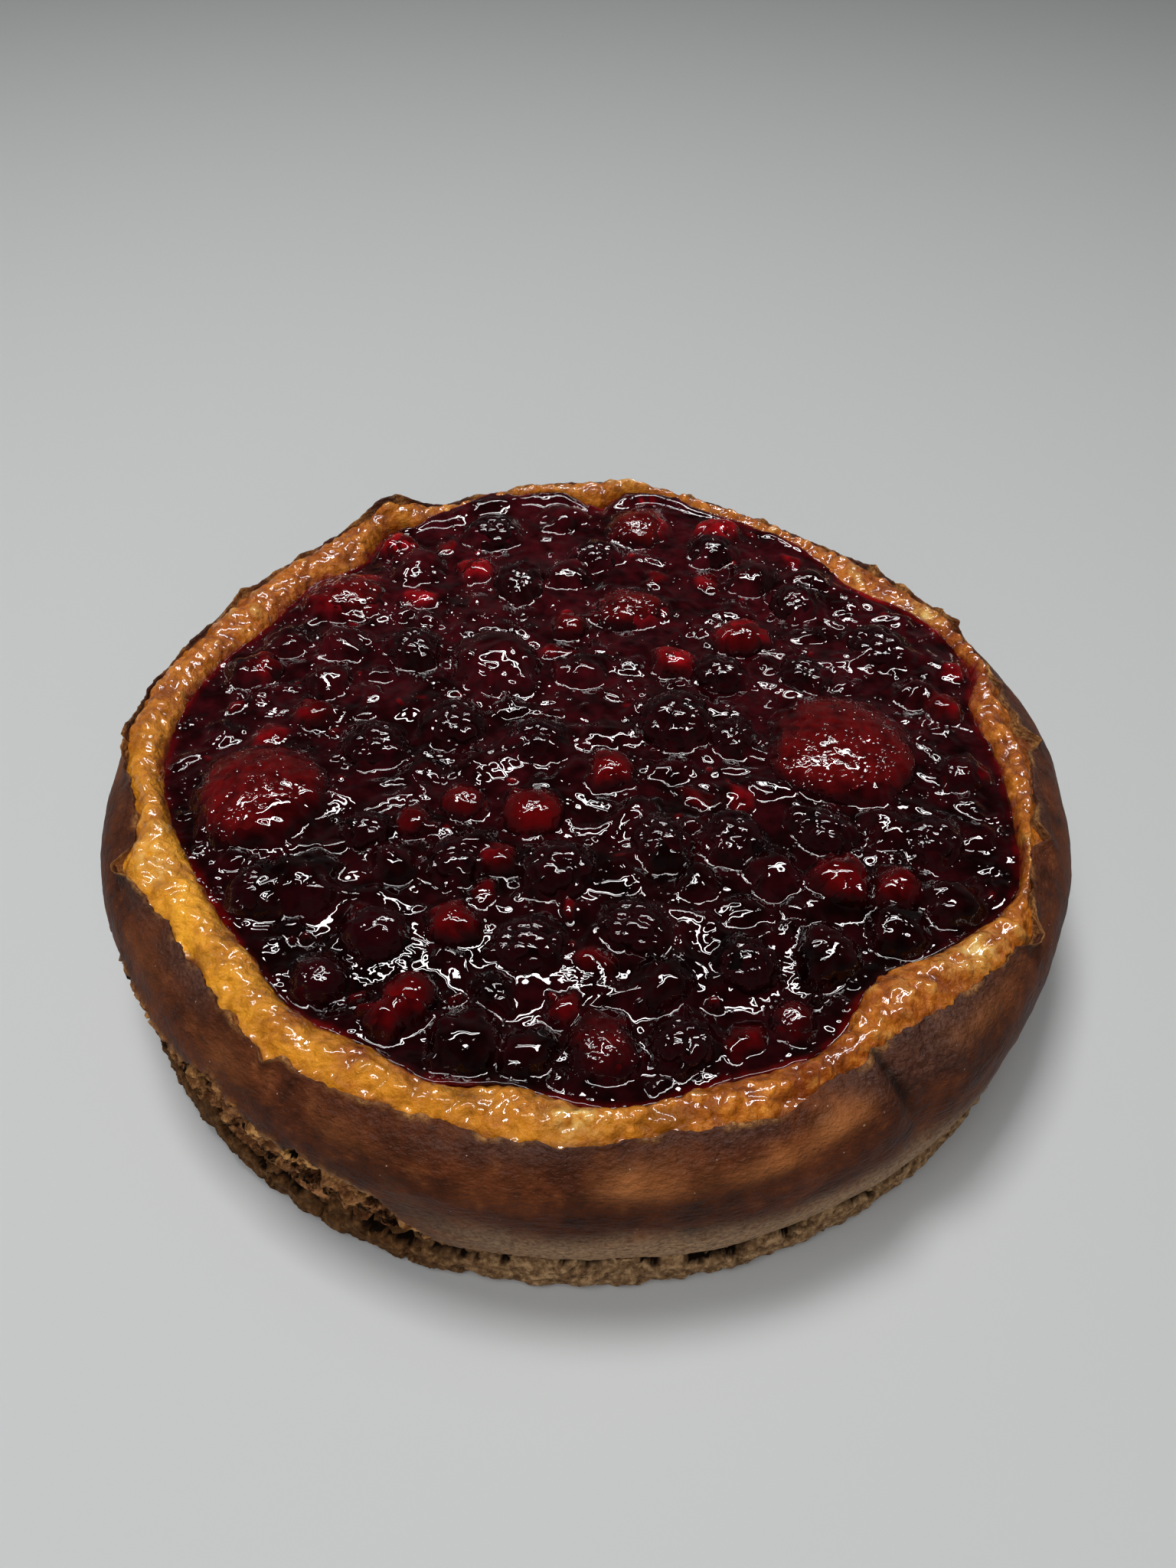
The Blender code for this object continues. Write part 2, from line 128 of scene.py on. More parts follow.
SMALL_FRUIT = (
    ("red", -93, 26, 10), ("dark", -103, 26, 11), ("dark", -74, 22, 12), ("red", -75, 8, 10),
    ("red", -67, 94, 11), ("dark", -55, 77, 16), ("red", -37, 76, 9), ("bramble", -23, 70, 16),
    ("dark", -8, 75, 13), ("dark", -72, 39, 13), ("bramble", -52, 38, 14), ("dark", -27, 32, 22),
    ("dark", -40, -14, 12), ("dark", -11, 113, 14), ("bramble", 38, 89, 15), ("dark", 50, 75, 14),
    ("bramble", 62, 63, 14), ("dark", 71, 78, 12), ("red", 42, 104, 11), ("red", 24, 34, 10),
    ("bramble", 37, 29, 15), ("bramble", 61, 29, 13), ("red", 44, 45, 14), ("red", 106, 18, 9),
    ("bramble", 24, 9, 20), ("red", 6, -11, 12), ("bramble", 39, 3, 13), ("bramble", -56, -34, 12),
    ("red", -44, -31, 9), ("dark", -47, -44, 12), ("bramble", -32, -43, 14), ("red", -21, -42, 8),
    ("bramble", -7, -45, 17), ("dark", -69, -52, 17), ("red", -39, -83, 11), ("red", -45, -92, 9),
    ("dark", -27, -98, 14), ("bramble", -7, -81, 15), ("red", -31, -63, 11), ("dark", 13, -27, 11),
    ("bramble", 19, -36, 15), ("dark", 27, -48, 11), ("bramble", 37, -33, 15), ("dark", 47, -45, 13),
    ("red", 62, -47, 13), ("red", 76, -49, 11), ("bramble", 87, -33, 15), ("dark", 92, -55, 14),
    ("dark", 78, -64, 14), ("dark", 57, -69, 14), ("bramble", 38, -72, 13), ("dark", 19, -78, 12),
    ("bramble", 22, -94, 13), ("bramble", -93, -50, 12), ("dark", -12, -97, 11), ("dark", 93, 22, 12),
    ("dark", -2, 30, 14), ("red", -5, 50, 10), ("dark", -97, 43, 12), ("bramble", 3, 88, 14),
    ("dark", 76, -28, 13), ("bramble", 60, -31, 14), ("dark", -27, -29, 11), ("bramble", -83, -56, 13),
)
FRUIT_RISE = {"red": 0.33, "dark": 0.28, "bramble": 0.29}
STRAWBERRY_TAPER = 0.28
FRUIT_FLATNESS = 0.9
WIDEST = 1.05
CLEARANCE = 0.6
EDGE_CLEARANCE = 2.2
PUSHES = 12
SUNKEN_WIDTH = 1.15

# Camera, as fitted to the photo: focal length and sensor in mm, place in metres, and turn.
LENS = 28.125
SENSOR_WIDTH = 36.0
CAMERA_PLACE = (0.0, -0.24491, 0.27719)
CAMERA_PITCH = 44.54
CAMERA_ROLL = 1.35

# Mesh density.
SIDE_COLUMNS = 1100
SIDE_ROWS = 76
RIM_ROWS = 52
BASE_ROWS = 24
JELLY_RINGS = 178

# Points of each closed ring of the side, the rim and the base, as angles.
ALL_ROUND = np.arange(SIDE_COLUMNS) * 360.0 / SIDE_COLUMNS

# Limits in mm: height of everything, radius of the skin and radius of the skin's upper edge.
TALLEST = 64.1
WIDEST_SKIN = 130.3
WIDEST_EDGE = 125.4
# Rings on which the noise along the skin's edge and along the jelly's edge is read.
SKIN_RING = 125.0
JELLY_RING = 110.0
# How far inside the solid's surface the skin lies.
SKIN_INSET = 0.25

# The torn stretch of the side: angles where it begins, is full, narrows and ends.
TEAR = (194.0, 204.0, 250.0, 262.0)
# Height of the skin's lower edge by angle: near the foot, but high where the skin is torn.
LEDGE = (
    (30, 16.5), (90, 16.0), (150, 16.5), (188, 17.0), (196, 21.0), (202, 31.0), (210, 37.5),
    (218, 39.0), (226, 37.5), (232, 40.5), (236, 38.5), (239, 35.5), (243, 37.0), (247, 35.5),
    (250.5, 34.5), (252.5, 28.5), (255, 22.5), (259, 19.0), (263, 17.0), (270, 16.5), (274, 17.5),
    (281, 16.0), (289, 16.5), (300, 15.8), (335, 16.5),
)
# A cavity in the bare crumb: angle, height, and its reach in degrees and in mm.
BIG_HOLE = (251.5, 27.0, 2.2, 4.0)
# Seam between base and filling, and the split across the bare crumb: heights.
SEAM_LEVEL = 15.6
SPLIT_LEVEL = 23.5
# Radius of the bare crumb where the side is whole, and where it is torn.
BARE_RADIUS = (126.4, 128.0)
# Puckered skin beside the pleat: angle and width.
PUCKER = (309.0, 6.0)
# Height of the seam in the biscuit base where holes show.
BASE_SEAM = 11.2

# Where the dark skin's edge is notched: angle, depth in mm, half width in degrees.
NOTCHES = (
    (1.7, 4.6, 2.2), (344.5, 4.2, 2.0), (328.7, 4.0, 2.4), (27.0, 2.5, 1.6), (13.0, 2.0, 1.8),
    (203.5, 4.5, 2.6), (236.5, 2.2, 1.4), (228.0, 2.0, 1.6), (181.0, 2.0, 2.0), (150.0, 3.0, 2.0),
    (100.0, 2.0, 1.5),
)
# Where the skin's edge stands up in small tips: angle and height in mm, and their half width.
TIPS = ((78.9, 1.4), (74.7, 1.6), (62.6, 1.6), (42.9, 1.9), (37.2, 1.6), (140.0, 1.3), (165.0, 1.2))
TIP_WIDTH = 1.7
# Orange patches on the side: angle, share of the height, width in degrees, height share, strength.
GLOW_SPOTS = (
    (276.5, 0.82, 5.2, 0.09, 0.8), (288.0, 0.805, 3.6, 0.06, 0.5), (292.0, 0.835, 3.6, 0.06, 0.5),
    (296.0, 0.87, 3.4, 0.055, 0.6), (299.0, 0.89, 2.6, 0.05, 0.35), (314, 0.90, 4.5, 0.07, 0.55),
    (322, 0.88, 4, 0.08, 0.35), (284, 0.72, 4, 0.12, 0.15), (262, 0.76, 5, 0.12, 0.2),
    (247, 0.83, 5, 0.09, 0.25), (232, 0.82, 6, 0.10, 0.3), (216, 0.82, 5, 0.10, 0.3),
    (345, 0.8, 7, 0.12, 0.12), (20, 0.8, 9, 0.12, 0.4), (64, 0.8, 8, 0.14, 0.4),
    (110, 0.8, 7, 0.14, 0.45), (150, 0.8, 9, 0.14, 0.4), (185, 0.8, 6, 0.12, 0.3),
)

# How far the rim stays under the skin that covers it, in mm.
SKIN_COVER = 0.8
# Pale patches on the rim: angle, share of the way from topping edge to skin edge, reach in mm.
PALE_SPOTS = (
    (269.5, 0.45, 6.0), (84.3, 0.9, 4.5), (84.3, 1.0, 3.5), (30.0, 0.4, 5.0), (205.0, 0.6, 5.0),
    (322.0, 0.5, 6.0),
)
# Red stains on the rim, in the same way.
STAIN_SPOTS = (
    (244.5, 0.3, 4.5), (251.0, 0.02, 5.0), (236.0, 0.05, 4.0), (14.0, 0.1, 6.0), (296.0, 0.0, 4.0),
)
# A lump on the rim at the back, in the same way, and its rise.
LUMP_SPOT = (84.3, 0.9, 3.6)
LUMP_RISE = 2.2
# Yellower stretches of the rim: angle, width in degrees, strength.
SUNNY = ((213.0, 30.0, 1.0), (262.0, 20.0, 0.35), (105.0, 30.0, 0.2), (335.0, 25.0, 0.1))
# Sizes of the rim's large and small blisters.
BLISTERS = (5.6, 2.6)

# How far the jelly climbs and covers the rim at the back, in mm, by angle.
JELLY_CLIMB = (
    (50, 0.0), (60, 1.2), (68, 1.0), (76, 3.0), (80, 4.0), (85, 3.6), (88.5, 0.6), (91, 1.2), (95, 3.6),
    (102, 2.8), (107, 4.0), (113, 3.4), (118, 2.6), (124, 0.0),
)
JELLY_SPREAD = (
    (62, 0.0), (74, 0.8), (79, 4.8), (84.7, 3.0), (88.5, -2.5), (91, 0.5), (94.5, 4.4), (102, 1.6),
    (106.7, 5.6), (112, 4.2), (117.6, 4.0), (122, 0.0),
)
# Dip of the jelly behind the front rim, how far inward it is deepest, and how far inward the dip
# and the climb at the back reach.
JELLY_DIP = 2.3
DIP_DEEPEST = 16.0
SLOPE_REACH = 34.0
# Screen colours of the jelly over each kind of fruit, between the fruit and where it thins out.
TINTS = {
    "strawberry": (92, 6, 10),
    "cherry": (88, 5, 9),
    "red": (100, 6, 10),
    "bramble": (30, 3, 6),
    "dark": (38, 4, 7),
}
JELLY_TINT = (36, 4, 7)
EDGE_TINT = (116, 6, 5)
# How far the jelly's surface stays below the top of the fruit that stands out, in mm.
SMALL_FILM = {"red": 0.05, "dark": 0.4, "bramble": 0.4}
WHOLE_FILM = {"strawberry": 0.8, "cherry": 0.9, "bramble": 0.9}

# Scattered fruit: smallest and largest radius, number of trials, and how close two may come. It
# lies within a reach of the middle and a margin from the jelly's edge.
SCATTER_ROUNDS = ((4.0, 6.5, 420, 0.95), (2.2, 3.6, 240, 1.0), (0.9, 1.6, 420, 0.9))
SCATTER_REACH = 117.0
SCATTER_MARGIN = 0.8
SCATTER_KINDS = ("red", "dark", "dark", "bramble")
# Seeds of the random draws. The first is the one that the solids use.
SMALL_SEED = 13
SCATTER_SEED = 29
FILM_SEED = 41

# Cuts along each edge of the balls that fruit is shaped from, and the length in mm past which a
# strawberry gets the finest ball.
FINEST_CUTS = 30
MIDDLING_CUTS = 24
CHERRY_CUTS = 18
SMALL_BRAMBLE_CUTS = 15
CURRANT_CUTS = 10
LARGE_STRAWBERRY = 30
# Pits of a strawberry, and drupelets of a large and a small bramble.
PITS = 170
DRUPELETS = 62
SMALL_DRUPELETS = 40

# Looks of the fruit that stands out: material's name, dark and bright colour, scale of the grain,
# scale and strength of the ripples, scale and strength of the pips.
FRUIT_LOOKS = {
    "strawberry": ("glazed strawberry", (58, 5, 7), (104, 14, 15), 260.0, 260.0, 0.35, 600.0, 0.6),
    "cherry": ("glazed red cherry", (62, 3, 5), (104, 7, 9), 120.0, 260.0, 0.40, 700.0, 0.15),
    "cherry_dark": ("glazed dark cherry", (26, 2, 5), (46, 4, 8), 120.0, 260.0, 0.35, 700.0, 0.2),
    "bramble": ("glazed bramble", (14, 2, 5), (40, 5, 9), 320.0, 330.0, 0.3, 900.0, 0.15),
}

# Two ceiling strips draw the gloss lines, and broad lights that show in no reflection do the
# rest: name, place and size in metres, brightness, colour, whether gloss mirrors it, and whether
# it lights anything but gloss.
LIGHTS = (
    ("strip", (-0.05, 0.30, 1.30), (1.30, 0.085), 62.0, (1.0, 1.0, 1.0), True, False),
    ("strip behind", (0.10, 0.53, 1.25), (1.10, 0.050), 58.0, (1.0, 1.0, 1.0), True, False),
    ("key", (-0.25, 0.15, 1.50), (0.45, 0.40), 23.0, (1.0, 0.99, 0.96), False, True),
    ("soft top", (-0.3, -0.7, 1.7), (1.1, 0.7), 4.2, (1.0, 1.0, 1.0), False, True),
    ("soft front", (0.2, -1.5, 0.9), (1.4, 0.9), 1.0, (1.0, 0.98, 0.96), False, True),
)
LIGHTS_AIM = (0.0, 0.0, 0.05)
# The sky from the horizon to overhead: height share and grey.
SKY_STEPS = ((0.0, 0.09), (0.45, 0.08), (0.60, 0.05), (0.70, 0.025), (1.0, 0.02))
# Half the floor's side, in metres, and the floor's linear colour.
FLOOR_HALF = 6.0
FLOOR_COLOUR = (0.60, 0.62, 0.63, 1.0)


def around(table, degrees):
    """Values of a smooth closed curve through (angle, value) pairs, at the given angles."""
    angles = np.array([pair[0] for pair in table], dtype=float)
    values = np.array([pair[1] for pair in table], dtype=float)
    angles = np.concatenate([angles[-2:] - 360.0, angles, angles[:3] + 360.0])
    values = np.concatenate([values[-2:], values, values[:3]])
    slopes = np.gradient(values, angles)
    degrees = np.mod(degrees, 360.0)
    left = np.clip(np.searchsorted(angles, degrees, side="right") - 1, 1, len(angles) - 2)
    span = angles[left + 1] - angles[left]
    t = (degrees - angles[left]) / span
    rise = values[left] * (1 + 2 * t) * (1 - t) ** 2 + values[left + 1] * t * t * (3 - 2 * t)
    return rise + span * (slopes[left] * t * (1 - t) ** 2 - slopes[left + 1] * t * t * (1 - t))


def smoothstep(low, high, value):
    t = np.clip((value - low) / (high - low), 0.0, 1.0)
    return t * t * (3.0 - 2.0 * t)


def fade(low, high, value):
    """Falls smoothly from 1 to 0 between two limits."""
    return 1.0 - smoothstep(low, high, value)


def mix(low, high, share):
    return low + (high - low) * share


def angle_gap(degrees, centre):
    """Signed difference of angles, from -180 to 180."""
    return np.mod(degrees - centre + 180.0, 360.0) - 180.0


def bell(value):
    """Smooth bump, 1 at 0."""
    return np.exp(-(value ** 2))


def bell_at(degrees, centre, width):
    """Smooth bump round an angle, 1 at its centre."""
    return bell(angle_gap(degrees, centre) / width)


def tent(degrees, centre, half_width):
    """Straight-sided bump round an angle, 1 at its centre."""
    return np.clip(1.0 - np.abs(angle_gap(degrees, centre)) / half_width, 0.0, 1.0)


def polar(radius, turn, height):
    """Points from radii, angles in radians and heights."""
    return np.stack(np.broadcast_arrays(radius * np.cos(turn), radius * np.sin(turn), height), axis=-1)


class Noise:
    """Gradient noise in space, about -1 to 1, the same on every run."""

    def __init__(self, seed):
        chance = np.random.RandomState(seed)
        self.order = np.tile(chance.permutation(256), 2)
        arrows = chance.normal(size=(256, 3))
        self.arrows = arrows / np.linalg.norm(arrows, axis=1, keepdims=True)

    def __call__(self, points, scale):
        place = np.asarray(points, dtype=float) / scale
        cell = np.floor(place).astype(np.int64)
        part = place - cell
        fade = part ** 3 * (part * (part * 6.0 - 15.0) + 10.0)
        total = np.zeros(place.shape[:-1])
        for corner in np.ndindex(2, 2, 2):
            index = (cell + corner) & 255
            key = self.order[self.order[self.order[index[..., 0]] + index[..., 1]] + index[..., 2]]
            value = np.sum(self.arrows[key] * (part - corner), axis=-1)
            weight = np.prod(np.where(corner, fade, 1.0 - fade), axis=-1)
            total += value * weight
        return 1.6 * total

    def layers(self, points, scale, count, roughness=0.5):
        """Sum of noises, each half as wide as the one before."""
        total = 0.0
        size = 1.0
        for step in range(count):
            total = total + size * self(np.asarray(points) + 37.0 * step, scale / 2 ** step)
            size *= roughness
        return total


NOISE = Noise(5)
NOISE_TOO = Noise(6)


def ridges(points, scale, noise=NOISE):
    """Narrow crests, 0 to 1, along the zero lines of a noise."""
    return np.clip(1.0 - 2.2 * np.abs(noise(points, scale)), 0.0, 1.0) ** 2


def crests(points, scale, noise, width):
    """Smooth, rounded crests, 0 to 1, along the zero lines of a noise."""
    return bell(noise(points, scale) / width)


def cells(x, y, size, seed, jitter=0.9):
    """Distance to the nearest of a jittered grid of points in the plane, in cell widths."""
    column = np.floor(x / size).astype(np.int64)
    row = np.floor(y / size).astype(np.int64)
    best = np.full(x.shape, 9.0)
    for across in (-1, 0, 1):
        for up in (-1, 0, 1):
            i = column + across
            j = row + up
            key = (i * 73856093) ^ (j * 19349663) ^ (seed * 83492791)
            first = np.mod(np.abs(np.sin(key % 100003) * 43758.5453), 1.0)
            second = np.mod(np.abs(np.sin(key % 99991 + 17.3) * 24634.6345), 1.0)
            dx = x / size - i - 0.5 - jitter * (first - 0.5)
            dy = y / size - j - 0.5 - jitter * (second - 0.5)
            best = np.minimum(best, np.hypot(dx, dy))
    return best


def topping_level(y):
    return TOPPING_LEVEL + TOPPING_TILT * y


def unevenness(degrees):
    turn = np.radians(degrees)
    return 0.35 * np.sin(3 * turn + 0.6) + 0.25 * np.sin(7 * turn + 2.1) + 0.2 * np.sin(13 * turn)


def spline_rows(values, steps):
    """Smooth curve through rows of values, read at fractional row numbers."""
    count = len(values)
    left = np.clip(np.floor(steps).astype(int), 0, count - 2)
    t = (steps - left)[:, None]
    before = values[np.maximum(left - 1, 0)]
    first = values[left]
    second = values[left + 1]
    after = values[np.minimum(left + 2, count - 1)]
    slope_in = 0.5 * (second - before)
    slope_out = 0.5 * (after - first)
    return (
        first * (1 + 2 * t) * (1 - t) ** 2 + second * t * t * (3 - 2 * t)
        + slope_in * t * (1 - t) ** 2 - slope_out * t * t * (1 - t)
    )


def wrapped_faces(rows, columns, first=0):
    """Triangles of a closed band of rows by columns of points."""
    row = np.arange(rows - 1)[:, None]
    column = np.arange(columns)[None, :]
    following = (column + 1) % columns
    a = first + row * columns + column
    b = first + row * columns + following
    c = a + columns
    d = b + columns
    return np.concatenate([
        np.stack([a, b, d], axis=-1).reshape(-1, 3),
        np.stack([a, d, c], axis=-1).reshape(-1, 3),
    ])


def cap_faces(start, columns, middle, upwards):
    here = start + np.arange(columns)
    following = start + (np.arange(columns) + 1) % columns
    middles = np.full(columns, middle)
    if upwards:
        return np.stack([here, following, middles], axis=-1)
    return np.stack([following, here, middles], axis=-1)


def capped_band(band):
    """Closed mesh from a band of rows by columns of points, bottom row first: points and faces."""
    rows, columns, _ = band.shape
    points = np.concatenate([band.reshape(-1, 3), [band[0].mean(axis=0)], [band[-1].mean(axis=0)]])
    faces = np.concatenate([
        wrapped_faces(rows, columns),
        cap_faces(0, columns, rows * columns, False),
        cap_faces((rows - 1) * columns, columns, rows * columns + 1, True),
    ])
    return points, faces


def closed_ring(band):
    """Ring from a band of rows by columns of points whose last row joins its first: points and faces."""
    rows, columns, _ = band.shape
    return band.reshape(-1, 3), wrapped_faces(rows + 1, columns) % (rows * columns)


def join(groups):
    """One mesh from several: points and faces."""
    points = []
    faces = []
    start = 0
    for some_points, some_faces in groups:
        points.append(some_points)
        faces.append(some_faces + start)
        start += len(some_points)
    return np.concatenate(points), np.concatenate(faces)


def new_piece(name, points, faces, material, slot, nodes=(), marks=None):
    """Piece from points in millimetres. Marks are named numbers or colours for each point."""
    mesh = bpy.data.meshes.new(name)
    mesh.from_pydata((np.asarray(points) * MM).tolist(), [], np.asarray(faces).tolist())
    mesh.materials.append(material)
    for mark, values in (marks or {}).items():
        values = np.asarray(values, dtype=np.float32)
        if values.ndim == 1:
            layer = mesh.attributes.new(mark, "FLOAT", "POINT")
            layer.data.foreach_set("value", values)
        else:
            layer = mesh.attributes.new(mark, "FLOAT_COLOR", "POINT")
            full = np.ones((len(values), 4), dtype=np.float32)
            full[:, :3] = values
            layer.data.foreach_set("color", full.ravel())
    mesh.shade_smooth()
    thing = bpy.data.objects.new(name, mesh)
    bpy.context.scene.collection.objects.link(thing)
    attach(thing, "root")
    if nodes:
        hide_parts(*nodes)


def linear(red, green, blue):
    """Linear colour from screen values of 0 to 255."""
    parts = [value / 255.0 for value in (red, green, blue)]
    return tuple(v / 12.92 if v <= 0.04045 else ((v + 0.055) / 1.055) ** 2.4 for v in parts)


def fill_ramp(ramp, stops):
    """Stops are (position, screen colour or grey)."""
    while len(ramp.elements) < len(stops):
        ramp.elements.new(0.5)
    for element, (position, colour) in zip(ramp.elements, stops):
        element.position = position
        element.color = rgba(colour)


def rgba(colour):
    """Linear colour with alpha from a screen colour, or from a grey that is linear already."""
    return (colour, colour, colour, 1.0) if np.isscalar(colour) else (*linear(*colour), 1.0)


class Finish:
    """A material built from nodes, with short calls for the nodes that repeat."""

    def __init__(self, name):
        self.material = bpy.data.materials.new(name)
        self.material.use_nodes = True
        self.tree = self.material.node_tree
        self.shader = self.tree.nodes["Principled BSDF"]
        self.place = self.tree.nodes.new("ShaderNodeTexCoord").outputs["Object"]

    def set(self, **values):
        for name, value in values.items():
            self.shader.inputs[name.replace("_", " ")].default_value = value

    def link(self, source, target):
        self.tree.links.new(source, target)

    def noise(self, scale, detail=4.0, roughness=0.55, stretch=None):
        node = self.tree.nodes.new("ShaderNodeTexNoise")
        node.inputs["Scale"].default_value = scale
        node.inputs["Detail"].default_value = detail
        node.inputs["Roughness"].default_value = roughness
        self.link(self.stretched(stretch), node.inputs["Vector"])
        return node.outputs["Fac"]

    def cells(self, scale):
        node = self.tree.nodes.new("ShaderNodeTexVoronoi")
        node.inputs["Scale"].default_value = scale
        self.link(self.place, node.inputs["Vector"])
        return node.outputs["Distance"]

    def stretched(self, stretch):
        if stretch is None:
            return self.place
        node = self.tree.nodes.new("ShaderNodeMapping")
        node.inputs["Scale"].default_value = stretch
        self.link(self.place, node.inputs["Vector"])
        return node.outputs["Vector"]

    def mark(self, name, output="Fac"):
        node = self.tree.nodes.new("ShaderNodeAttribute")
        node.attribute_name = name
        return node.outputs[output]

    def steps(self, value, *stops):
        """Colour ramp: stops are (position, screen colour or grey)."""
        node = self.tree.nodes.new("ShaderNodeValToRGB")
        fill_ramp(node.color_ramp, stops)
        self.link(value, node.inputs["Fac"])
        return node.outputs["Color"]

    def blend(self, share, low, high, mode="MIX"):
        node = self.tree.nodes.new("ShaderNodeMix")
        node.data_type = "RGBA"
        node.blend_type = mode
        for value, name in ((share, "Factor_Float"), (low, "A_Color"), (high, "B_Color")):
            socket = next(s for s in node.inputs if s.identifier == name)
            if isinstance(value, bpy.types.NodeSocket):
                self.link(value, socket)
            elif name == "Factor_Float":
                socket.default_value = value
            else:
                socket.default_value = rgba(value)
        return next(s for s in node.outputs if s.identifier == "Result_Color")

    def sum(self, operation, first, second):
        node = self.tree.nodes.new("ShaderNodeMath")
        node.operation = operation
        for value, socket in ((first, node.inputs[0]), (second, node.inputs[1])):
            if isinstance(value, bpy.types.NodeSocket):
                self.link(value, socket)
            else:
                socket.default_value = value
        return node.outputs[0]

    def times(self, first, second):
        return self.sum("MULTIPLY", first, second)

    def bump(self, height, distance, strength=1.0, under=None):
        node = self.tree.nodes.new("ShaderNodeBump")
        node.inputs["Strength"].default_value = strength
        node.inputs["Distance"].default_value = distance
        self.link(height, node.inputs["Height"])
        if under:
            self.link(under, node.inputs["Normal"])
        return node.outputs["Normal"]

    def finish(self, colour=None, roughness=None, normal=None):
        for value, name in ((colour, "Base Color"), (roughness, "Roughness"), (normal, "Normal")):
            if value is not None:
                self.link(value, self.shader.inputs[name])
        return self.material


def skin_material():
    """Dark brown leathery skin, orange where it bulges, dusty low down, and bare crumb where torn, with
    painted shade in pores, cavities, cracks and under the torn edge, and painted light on the tan edge,
    pale specks and raised crumb.
    """
    make = Finish("dark baked skin")
    broad = make.noise(34.0, 3.0)
    mottle = make.noise(190.0, 6.0, 0.65)
    fine = make.noise(900.0, 4.0, 0.65)
    brown = make.steps(
        mottle, (0.32, (36, 15, 6)), (0.46, (82, 38, 17)), (0.58, (108, 55, 27)),
        (0.72, (150, 90, 50)),
    )
    tone = make.steps(broad, (0.35, (58, 26, 12)), (0.65, (106, 54, 26)))
    colour = make.blend(0.45, brown, tone)
    bands = make.noise(60.0, 4.0, 0.6, (1.0, 1.0, 2.2))
    shade = make.steps(bands, (0.38, (150, 142, 134)), (0.60, (255, 250, 244)))
    colour = make.blend(0.6, colour, shade, "MULTIPLY")
    patch = make.steps(make.noise(90.0, 2.0), (0.3, 0.0), (0.8, 0.8))
    glow = make.blend(patch, (162, 96, 48), (198, 128, 76))
    colour = make.blend(make.mark("glow"), colour, glow)
    dust = make.steps(fine, (0.36, (122, 90, 62)), (0.64, (200, 162, 122)))
    colour = make.blend(make.times(make.mark("dust"), 0.8), colour, dust)
    violet = make.steps(fine, (0.3, (46, 24, 18)), (0.7, (92, 60, 48)))
    colour = make.blend(make.mark("purple"), colour, violet)
    # Painted shade: dark dots in the skin's pores.
    pores = make.steps(make.cells(700.0), (0.06, 1.0), (0.16, 0.0))
    open_pores = make.steps(make.noise(150.0, 2.0), (0.46, 0.0), (0.60, 0.75))
    colour = make.blend(make.times(pores, open_pores), colour, (36, 16, 8))
    # Painted glints: rare pale specks on the skin.
    specks = make.steps(make.cells(520.0), (0.05, 1.0), (0.11, 0.0))
    rare = make.steps(make.noise(260.0, 1.0), (0.60, 0.0), (0.64, 1.0))
    share = make.times(specks, make.times(rare, 0.7))
    colour = make.blend(share, colour, (196, 170, 150))
    crumb_grain = make.noise(420.0, 5.0, 0.65)
    crumb = make.steps(
        crumb_grain, (0.30, (46, 24, 14)), (0.48, (120, 75, 45)), (0.66, (194, 138, 90)),
    )
    colour = make.blend(make.mark("bare"), colour, crumb)
    # Golden crumb: toasted near the skin, and painted light on the shelf's top and where the crumb stands
    # out.
    toasted = make.steps(crumb_grain, (0.34, (126, 66, 26)), (0.56, (232, 174, 106)))
    colour = make.blend(make.mark("toast_and_light"), colour, toasted)
    # Painted shade: near-black cavities in the bare crumb, with matching dents in the bump.
    cavity = make.steps(make.noise(240.0, 4.0, 0.6, (0.55, 0.55, 1.5)), (0.38, 1.0), (0.46, 0.0))
    cavity = make.times(cavity, make.mark("bare"))
    colour = make.blend(cavity, colour, (20, 10, 5))
    # Tan edge colour: the broken lip's own colour, and along the upper edge partly a painted highlight.
    lip_and_highlight = make.steps(fine, (0.36, (116, 66, 28)), (0.62, (206, 148, 82)))
    colour = make.blend(make.mark("lip_and_highlight"), colour, lip_and_highlight)
    # Painted shade: near-black where the deep mark lies.
    colour = make.blend(make.mark("deep"), colour, (14, 7, 4))
    smooth = make.steps(mottle, (0.3, 0.42), (0.7, 0.62))
    roughness = make.blend(make.mark("bare"), smooth, 0.9)
    grain = make.bump(make.noise(1300.0, 3.0, 0.7), 0.00020, 1.0)
    dents = make.bump(make.steps(make.cells(620.0), (0.08, 0.0), (0.22, 1.0)), 0.00018, 0.5, grain)
    folds = make.bump(make.noise(420.0, 3.0, 0.6, (1.0, 1.0, 2.6)), 0.0010, 0.9, dents)
    leather = make.bump(make.noise(230.0, 4.0, 0.6), 0.0008, 0.8, folds)
    hollows = make.bump(make.sum("SUBTRACT", 1.0, cavity), 0.0016, 0.9, leather)
    make.set(Specular_IOR_Level=0.10)
    return make.finish(colour, roughness, hollows)


